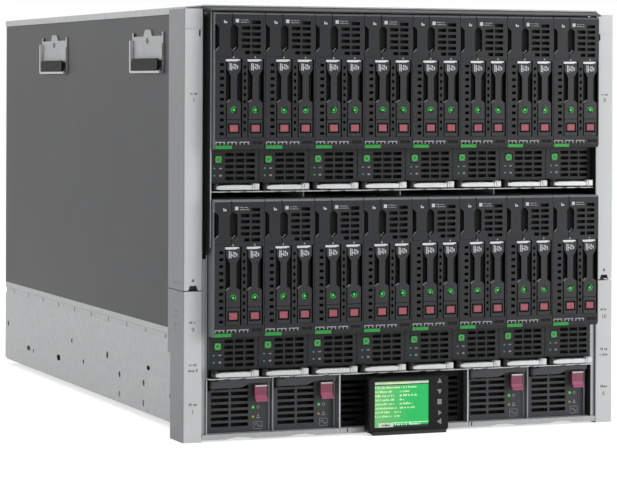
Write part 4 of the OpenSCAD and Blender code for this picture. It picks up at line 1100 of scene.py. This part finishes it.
@dataclass
class FrontFrame:
    """The hood, the cheeks and the sill round the bays."""

    hood_z: float = 437.9
    cheek_x: float = 219.0
    notches: tuple[float, float] = (-64.8, 77.4)
    sill: tuple[float, float] = (3.4, 7.2)

    def build(self) -> None:
        """Make the frame, with painted shade on the hood and the cheeks' sides, bright front edges, painted
        highlight strips along the hood and painted shade in the sill's notches.
        """
        softened("front_frame", [SILL_SHEET, HOOD_SHADE, CAGE_SHEET, VOID], 0.25, self.choose,
                 Vector((0, FRONT_Y, 0)))
        sketch = Sketch(Vector((0, FRONT_Y, self.hood_z * MM)))
        # two pale strips along the hood's front: painted highlights
        sketch.brick((-224.6, -1.0, 5.4), (224.6, -0.4, 6.3), 0, 0.1)
        sketch.brick((-217.0, -12.0, 2.3), (217.0, -11.2, 2.9), 1, 0.1)
        # black in the sill's notches: painted shade
        for x in self.notches:
            sketch.brick((x - 0.6, -0.04, self.sill[0] - self.hood_z),
                         (x + 0.6, 0.1, self.sill[1] - self.hood_z), 2)
        finish_piece(sketch.bm, "hood_beads_and_sill_notches", [BRIGHT_ZINC_AND_HIGHLIGHT, CAGE_SHEET, VOID],
                     "enclosure", "front_trim")

    def choose(self, middle: Vector, normal: Vector) -> int:
        """The finish of a face of the frame, as its index."""
        x, y, z = middle
        # the hood: painted shade
        if z > self.hood_z - 0.1:
            return 1
        # the cheeks: front faces in sheet, their sides in the hood's dark as painted shade
        if abs(x) > self.cheek_x and y < 2 and z > 80:
            return 0 if normal.y < -0.8 else 1
        if z < 7.7 and normal.z > 0.8:
            return 2
        return 0


@dataclass
class PowerCage:
    """The walls between the power bays and the black covers of the two middle bays."""

    cover_x: float = 72.0
    cover_back: float = 60.0

    def build(self) -> None:
        """Make the cage."""
        softened("power_cage", [CAGE_SHEET, BLANK_BLACK, BRIGHT_ZINC_AND_HIGHLIGHT], 0.25, self.choose,
                 Vector((0, FRONT_Y, 0)))

    def choose(self, middle: Vector, normal: Vector) -> int:
        """The finish of a face: black cover, front edge in bright zinc as painted highlight, or plain sheet.
        """
        if abs(middle.x) < self.cover_x and middle.y < self.cover_back:
            return 1
        # front-facing edges in bright zinc: painted highlight
        return 2 if middle.y < 2 and normal.y < -0.8 else 0


@dataclass
class LiftHandles:
    """The four removable side handles: bright brackets, dark grips and plungers."""

    centres: tuple[float, float] = (188.0, 555.0)
    width: float = 108.0
    foot_z: float = 375.5
    panel_x: float = 221.6
    plate: float = 1.6
    flat: float = 0.32
    rim: float = 5.4

    def build(self) -> None:
        """Make the handles."""
        softened("lift_handles", [HANDLE_STEEL, GRIP_ABS_AND_WALL_SHADE, PIVOT_DARK], 0.4, self.choose,
                 Vector((0, FRONT_Y, 0)), reshape=self.press_flat)
        sketch = Sketch(Vector((0, FRONT_Y, 0)))
        self.rims(sketch)
        finish_piece(sketch.bm, "lift_handle_rims", [RIM_HIGHLIGHT_STEEL], "enclosure", "handle_steel")

    def press_flat(self, corner: Vector) -> Vector:
        """Press the bracket flatter, its front wall down to a low rim, and shorten the grip."""
        off = abs(corner.x) - self.panel_x
        if off > self.plate + 0.1:
            along = self.along(corner.y)
            if self.on_grip(corner) and off > 7.9:
                corner.y -= along * 0.12
            low = along < 1.8 - self.width / 2
            off = self.plate + (off - self.plate) * (0.1 if low else self.flat)
            corner.x = math.copysign(self.panel_x + off, corner.x)
        return corner

    def along(self, y: float) -> float:
        """How far a place lies behind the middle of the nearest handle."""
        return min((y - centre for centre in self.centres), key=abs)

    def on_grip(self, place: Vector) -> bool:
        """Whether a place is at the height of the grip and between its ends."""
        return 2.9 < place.z - self.foot_z < 16.1 and abs(self.along(place.y)) < self.width / 2 - 1.8

    def rims(self, sketch: Sketch) -> None:
        """Add the rolled rim along the rear and lower edges of each bracket, in a brighter steel as painted
        highlight.
        """
        half = self.width / 2
        for side in (-1, 1):
            near, far = sorted((side * (self.panel_x + 1.4), side * (self.panel_x + self.rim)))
            for centre in self.centres:
                sketch.brick((near, centre + half - 4.2, self.foot_z + 1.5),
                             (far, centre + half - 0.2, self.foot_z + 36), 0, 0.6)
                sketch.brick((near, centre - half + 3, self.foot_z),
                             (far, centre + half - 2, self.foot_z + 2.8), 0, 0.8)

    def choose(self, middle: Vector, normal: Vector) -> int:
        """The finish of a face: grip, plunger, painted shade on the inner wall, or bracket."""
        x, y, z = middle
        along = self.along(y)
        up = z - self.foot_z
        if self.on_grip(middle) and abs(x) > self.panel_x + self.plate + 0.1:
            return 1
        if abs(x) > self.panel_x + self.plate + 0.1 and abs(along) < 3.2 and 31 < up < 39:
            return 2
        # the rear wall's inner face in the grip's dark: painted shade
        painted_wall_shade = normal.y < -0.7 and along > self.width / 2 - 8
        return 1 if painted_wall_shade else 0


INLET_PITCH = 71.33


@dataclass
class Rear:
    """The rear bays: fans, network and management modules, and the mains inlets."""

    rear_y: float = 784.1
    fan_top: tuple[float, float] = (356.3, 116.3)
    fan_pitch: float = 87.36

    def build(self) -> None:
        """Make the modules, then their lamps and labels."""
        origin = Vector((0, FRONT_Y, 0))

        def handle(middle: Vector, _normal: Vector) -> int:
            """Wine red for what a hand pulls, behind the rear faces."""
            return 1 if middle.y > self.rear_y else 0

        softened("fan_modules", [FAN_GREY, WINE], 0.4, handle, origin)
        softened("interconnect_modules", [MODULE_GREY, WINE], 0.3, handle, origin)
        softened("management_modules", [MODULE_GREY, WINE], 0.3, handle, origin)
        softened("power_input_panel", [MODULE_GREY, BRASS], 0.3,
                 lambda middle, _: 1 if self.pin(middle) else 0, origin)
        softened("rear_cage", [CAGE_SHEET])
        softened("midplane", [BOARD, BLACK_ABS], 0.3,
                 lambda middle, _: 0 if 523.9 < middle.y < 529.1 else 1, origin)
        sketch = Sketch(origin)
        back = self.rear_y - 0.1
        for z in self.fan_top:
            for column in range(5):
                x = (column - 2) * self.fan_pitch
                sketch.disc(x + 36, z + 8, 1.6, back - 0.3, back + 0.3, 0)
                sketch.brick((x + 30, back - SUNK, z + 74), (x + 40, back + INK, z + 80), 1)
                sketch.numeral(str(column + 1), x + 35, z + 75.2, 3.4, back + INK, 2, turned=True)
        finish_piece(sketch.bm, "rear_lamps_and_labels", [STATUS_GREEN, WHITE_INK, GREY_INK],
                     "enclosure", "fan")

    @staticmethod
    def pin(middle: Vector) -> bool:
        """Whether a face belongs to a pin of a mains inlet."""
        near = min(abs(middle.x - (inlet - 2.5) * INLET_PITCH - step)
                   for inlet in range(6) for step in (-8, 0, 8))
        return near < 1.3 and 20 < middle.z < 36 and 757 < middle.y < 777


# ---- studio -----------------------------------------------------------------


@dataclass
class ViewCamera:
    """A long lens near the height of the enclosure's top, shifted down."""

    eye: tuple[float, float, float] = (-1.0799, -2.8517, 0.3645)
    heading: float = 21.737
    roll: float = 0.215
    lens: float = 149.53
    shift: tuple[float, float] = (-0.0146, -0.2691)

    def build(self) -> None:
        """Place the camera and make it the scene's own."""
        data = bpy.data.cameras.new("front_left_camera")
        data.sensor_width = 36.0
        data.lens = self.lens
        data.shift_x, data.shift_y = self.shift
        data.clip_end = 50.0
        camera = bpy.data.objects.new("front_left_camera", data)
        turn = (Matrix.Rotation(math.radians(-self.heading), 4, "Z")
                @ Matrix.Rotation(math.radians(90), 4, "X")
                @ Matrix.Rotation(math.radians(self.roll), 4, "Z"))
        camera.matrix_world = Matrix.Translation(self.eye) @ turn
        bpy.context.scene.collection.objects.link(camera)
        bpy.context.scene.camera = camera


@dataclass
class Studio:
    """A pale floor under soft light, with a white surround behind the enclosure."""

    floor_size: float = 14.0
    front_light: float = 0.25
    back_light: float = 0.9
    lamps: tuple = field(default_factory=lambda: (
        ("overhead_softbox", (0.0, -1.4, 3.2), (0.0, -0.2, 0.2), (3.4, 2.4), 64.0),
        ("right_softbox", (2.2, -2.9, 0.85), (0.1, -0.4, 0.25), (1.4, 1.7), 42.0),
        ("rear_left_softbox", (-1.7, 1.9, 0.9), (-0.25, 0.35, 0.25), (1.0, 1.0), 9.0)))

    def build(self) -> None:
        """Lay the floor, hang the lamps and light the surround."""
        bpy.context.scene.view_settings.view_transform = "Standard"
        self.floor()
        for name, place, aim, size, power in self.lamps:
            self.lamp(name, Vector(place), Vector(aim), size, power)
        self.surround()

    def floor(self) -> None:
        """A plain pale floor that shows white apart from the enclosure's shadow."""
        bm = bmesh.new()
        bmesh.ops.create_grid(bm, x_segments=1, y_segments=1, size=self.floor_size / 2)
        mesh = bpy.data.meshes.new("floor")
        bm.to_mesh(mesh)
        bm.free()
        material = bpy.data.materials.new("pale_floor")
        material.use_nodes = True
        tree = material.node_tree
        tree.nodes.clear()
        pale = add(tree, "ShaderNodeBsdfDiffuse", inputs={"Color": linear("#dadada")})
        white = add(tree, "ShaderNodeEmission", inputs={"Color": (1, 1, 1, 1), "Strength": 0.62})
        both = add(tree, "ShaderNodeAddShader", inputs={0: pale.outputs[0], 1: white.outputs[0]})
        shown = add(tree, "ShaderNodeMixShader", inputs={
            0: self.seen(tree), 1: pale.outputs[0], 2: both.outputs[0]})
        add(tree, "ShaderNodeOutputMaterial", inputs={"Surface": shown.outputs[0]})
        mesh.materials.append(material)
        floor = bpy.data.objects.new("floor", mesh)
        bpy.context.scene.collection.objects.link(floor)

    @staticmethod
    def seen(tree: bpy.types.NodeTree) -> bpy.types.NodeSocket:
        """One for rays that show the surround: from the camera, off gloss and through glass."""
        path = add(tree, "ShaderNodeLightPath")
        gloss = add(tree, "ShaderNodeMath", {"operation": "MAXIMUM"}, {
            0: path.outputs["Is Camera Ray"], 1: path.outputs["Is Glossy Ray"]})
        both = add(tree, "ShaderNodeMath", {"operation": "MAXIMUM"}, {
            0: gloss.outputs[0], 1: path.outputs["Is Transmission Ray"]})
        return both.outputs[0]

    def surround(self) -> None:
        """A surround that is white behind the enclosure and dimmer on the camera's side."""
        world = bpy.data.worlds.new("white_surround")
        bpy.context.scene.world = world
        world.use_nodes = True
        tree = world.node_tree
        tree.nodes.clear()
        place = add(tree, "ShaderNodeTexCoord")
        parts = add(tree, "ShaderNodeSeparateXYZ", inputs={"Vector": place.outputs["Generated"]})
        turn = add(tree, "ShaderNodeMapRange", {"interpolation_type": "SMOOTHSTEP"}, {
            "Value": parts.outputs["Y"], "From Min": -0.2, "From Max": 0.5,
            "To Min": self.front_light, "To Max": self.back_light})
        path = add(tree, "ShaderNodeLightPath")
        strength = add(tree, "ShaderNodeMath", {"operation": "MAXIMUM"}, {
            0: turn.outputs["Result"], 1: path.outputs["Is Camera Ray"]})
        white = add(tree, "ShaderNodeBackground", inputs={
            "Color": (1, 1, 1, 1), "Strength": strength.outputs[0]})
        add(tree, "ShaderNodeOutputWorld", inputs={"Surface": white.outputs[0]})

    @staticmethod
    def lamp(name: str, place: Vector, aim: Vector, size: tuple[float, float], power: float) -> None:
        """Hang a soft rectangular lamp.

        Args:
            name: its name.
            place: where it hangs.
            aim: the point it is turned to.
            size: its width and height.
            power: its power in watts.
        """
        data = bpy.data.lights.new(name, "AREA")
        data.shape = "RECTANGLE"
        data.size, data.size_y = size
        data.energy = power
        lamp = bpy.data.objects.new(name, data)
        lamp.location = place
        lamp.rotation_euler = (aim - place).to_track_quat("-Z", "Y").to_euler()
        bpy.context.scene.collection.objects.link(lamp)


def main() -> None:
    """Build the sub-assemblies in order, then the studio and the camera."""
    logging.basicConfig(level=logging.INFO, format="%(message)s")
    for number in range(1, 17):
        Blade(number).build()
    for bay in (1, 2, 5, 6):
        PowerSupply(bay).build()
    StatusDisplay().build()
    SideBezel(Side.LEFT, "1", "9", "1").build()
    SideBezel(Side.RIGHT, "8", "16", "6").build()
    FrontFrame().build()
    LiftHandles().build()
    Rear().build()
    for node, finish in (("base_pan", LIGHT_SHEET), ("left_side_panel", SATIN_DARK),
                         ("right_side_panel", SATIN_DARK), ("lower_side_sheets", LIGHT_SHEET),
                         ("top_cover", LIGHT_SHEET), ("rack_ears", CAGE_SHEET),
                         ("bay_shelves", BRIGHT_ZINC_AND_HIGHLIGHT)):
        softened(node, [finish], 0.25)
    PowerCage().build()
    Studio().build()
    ViewCamera().build()


if __name__ == "__main__":
    main()
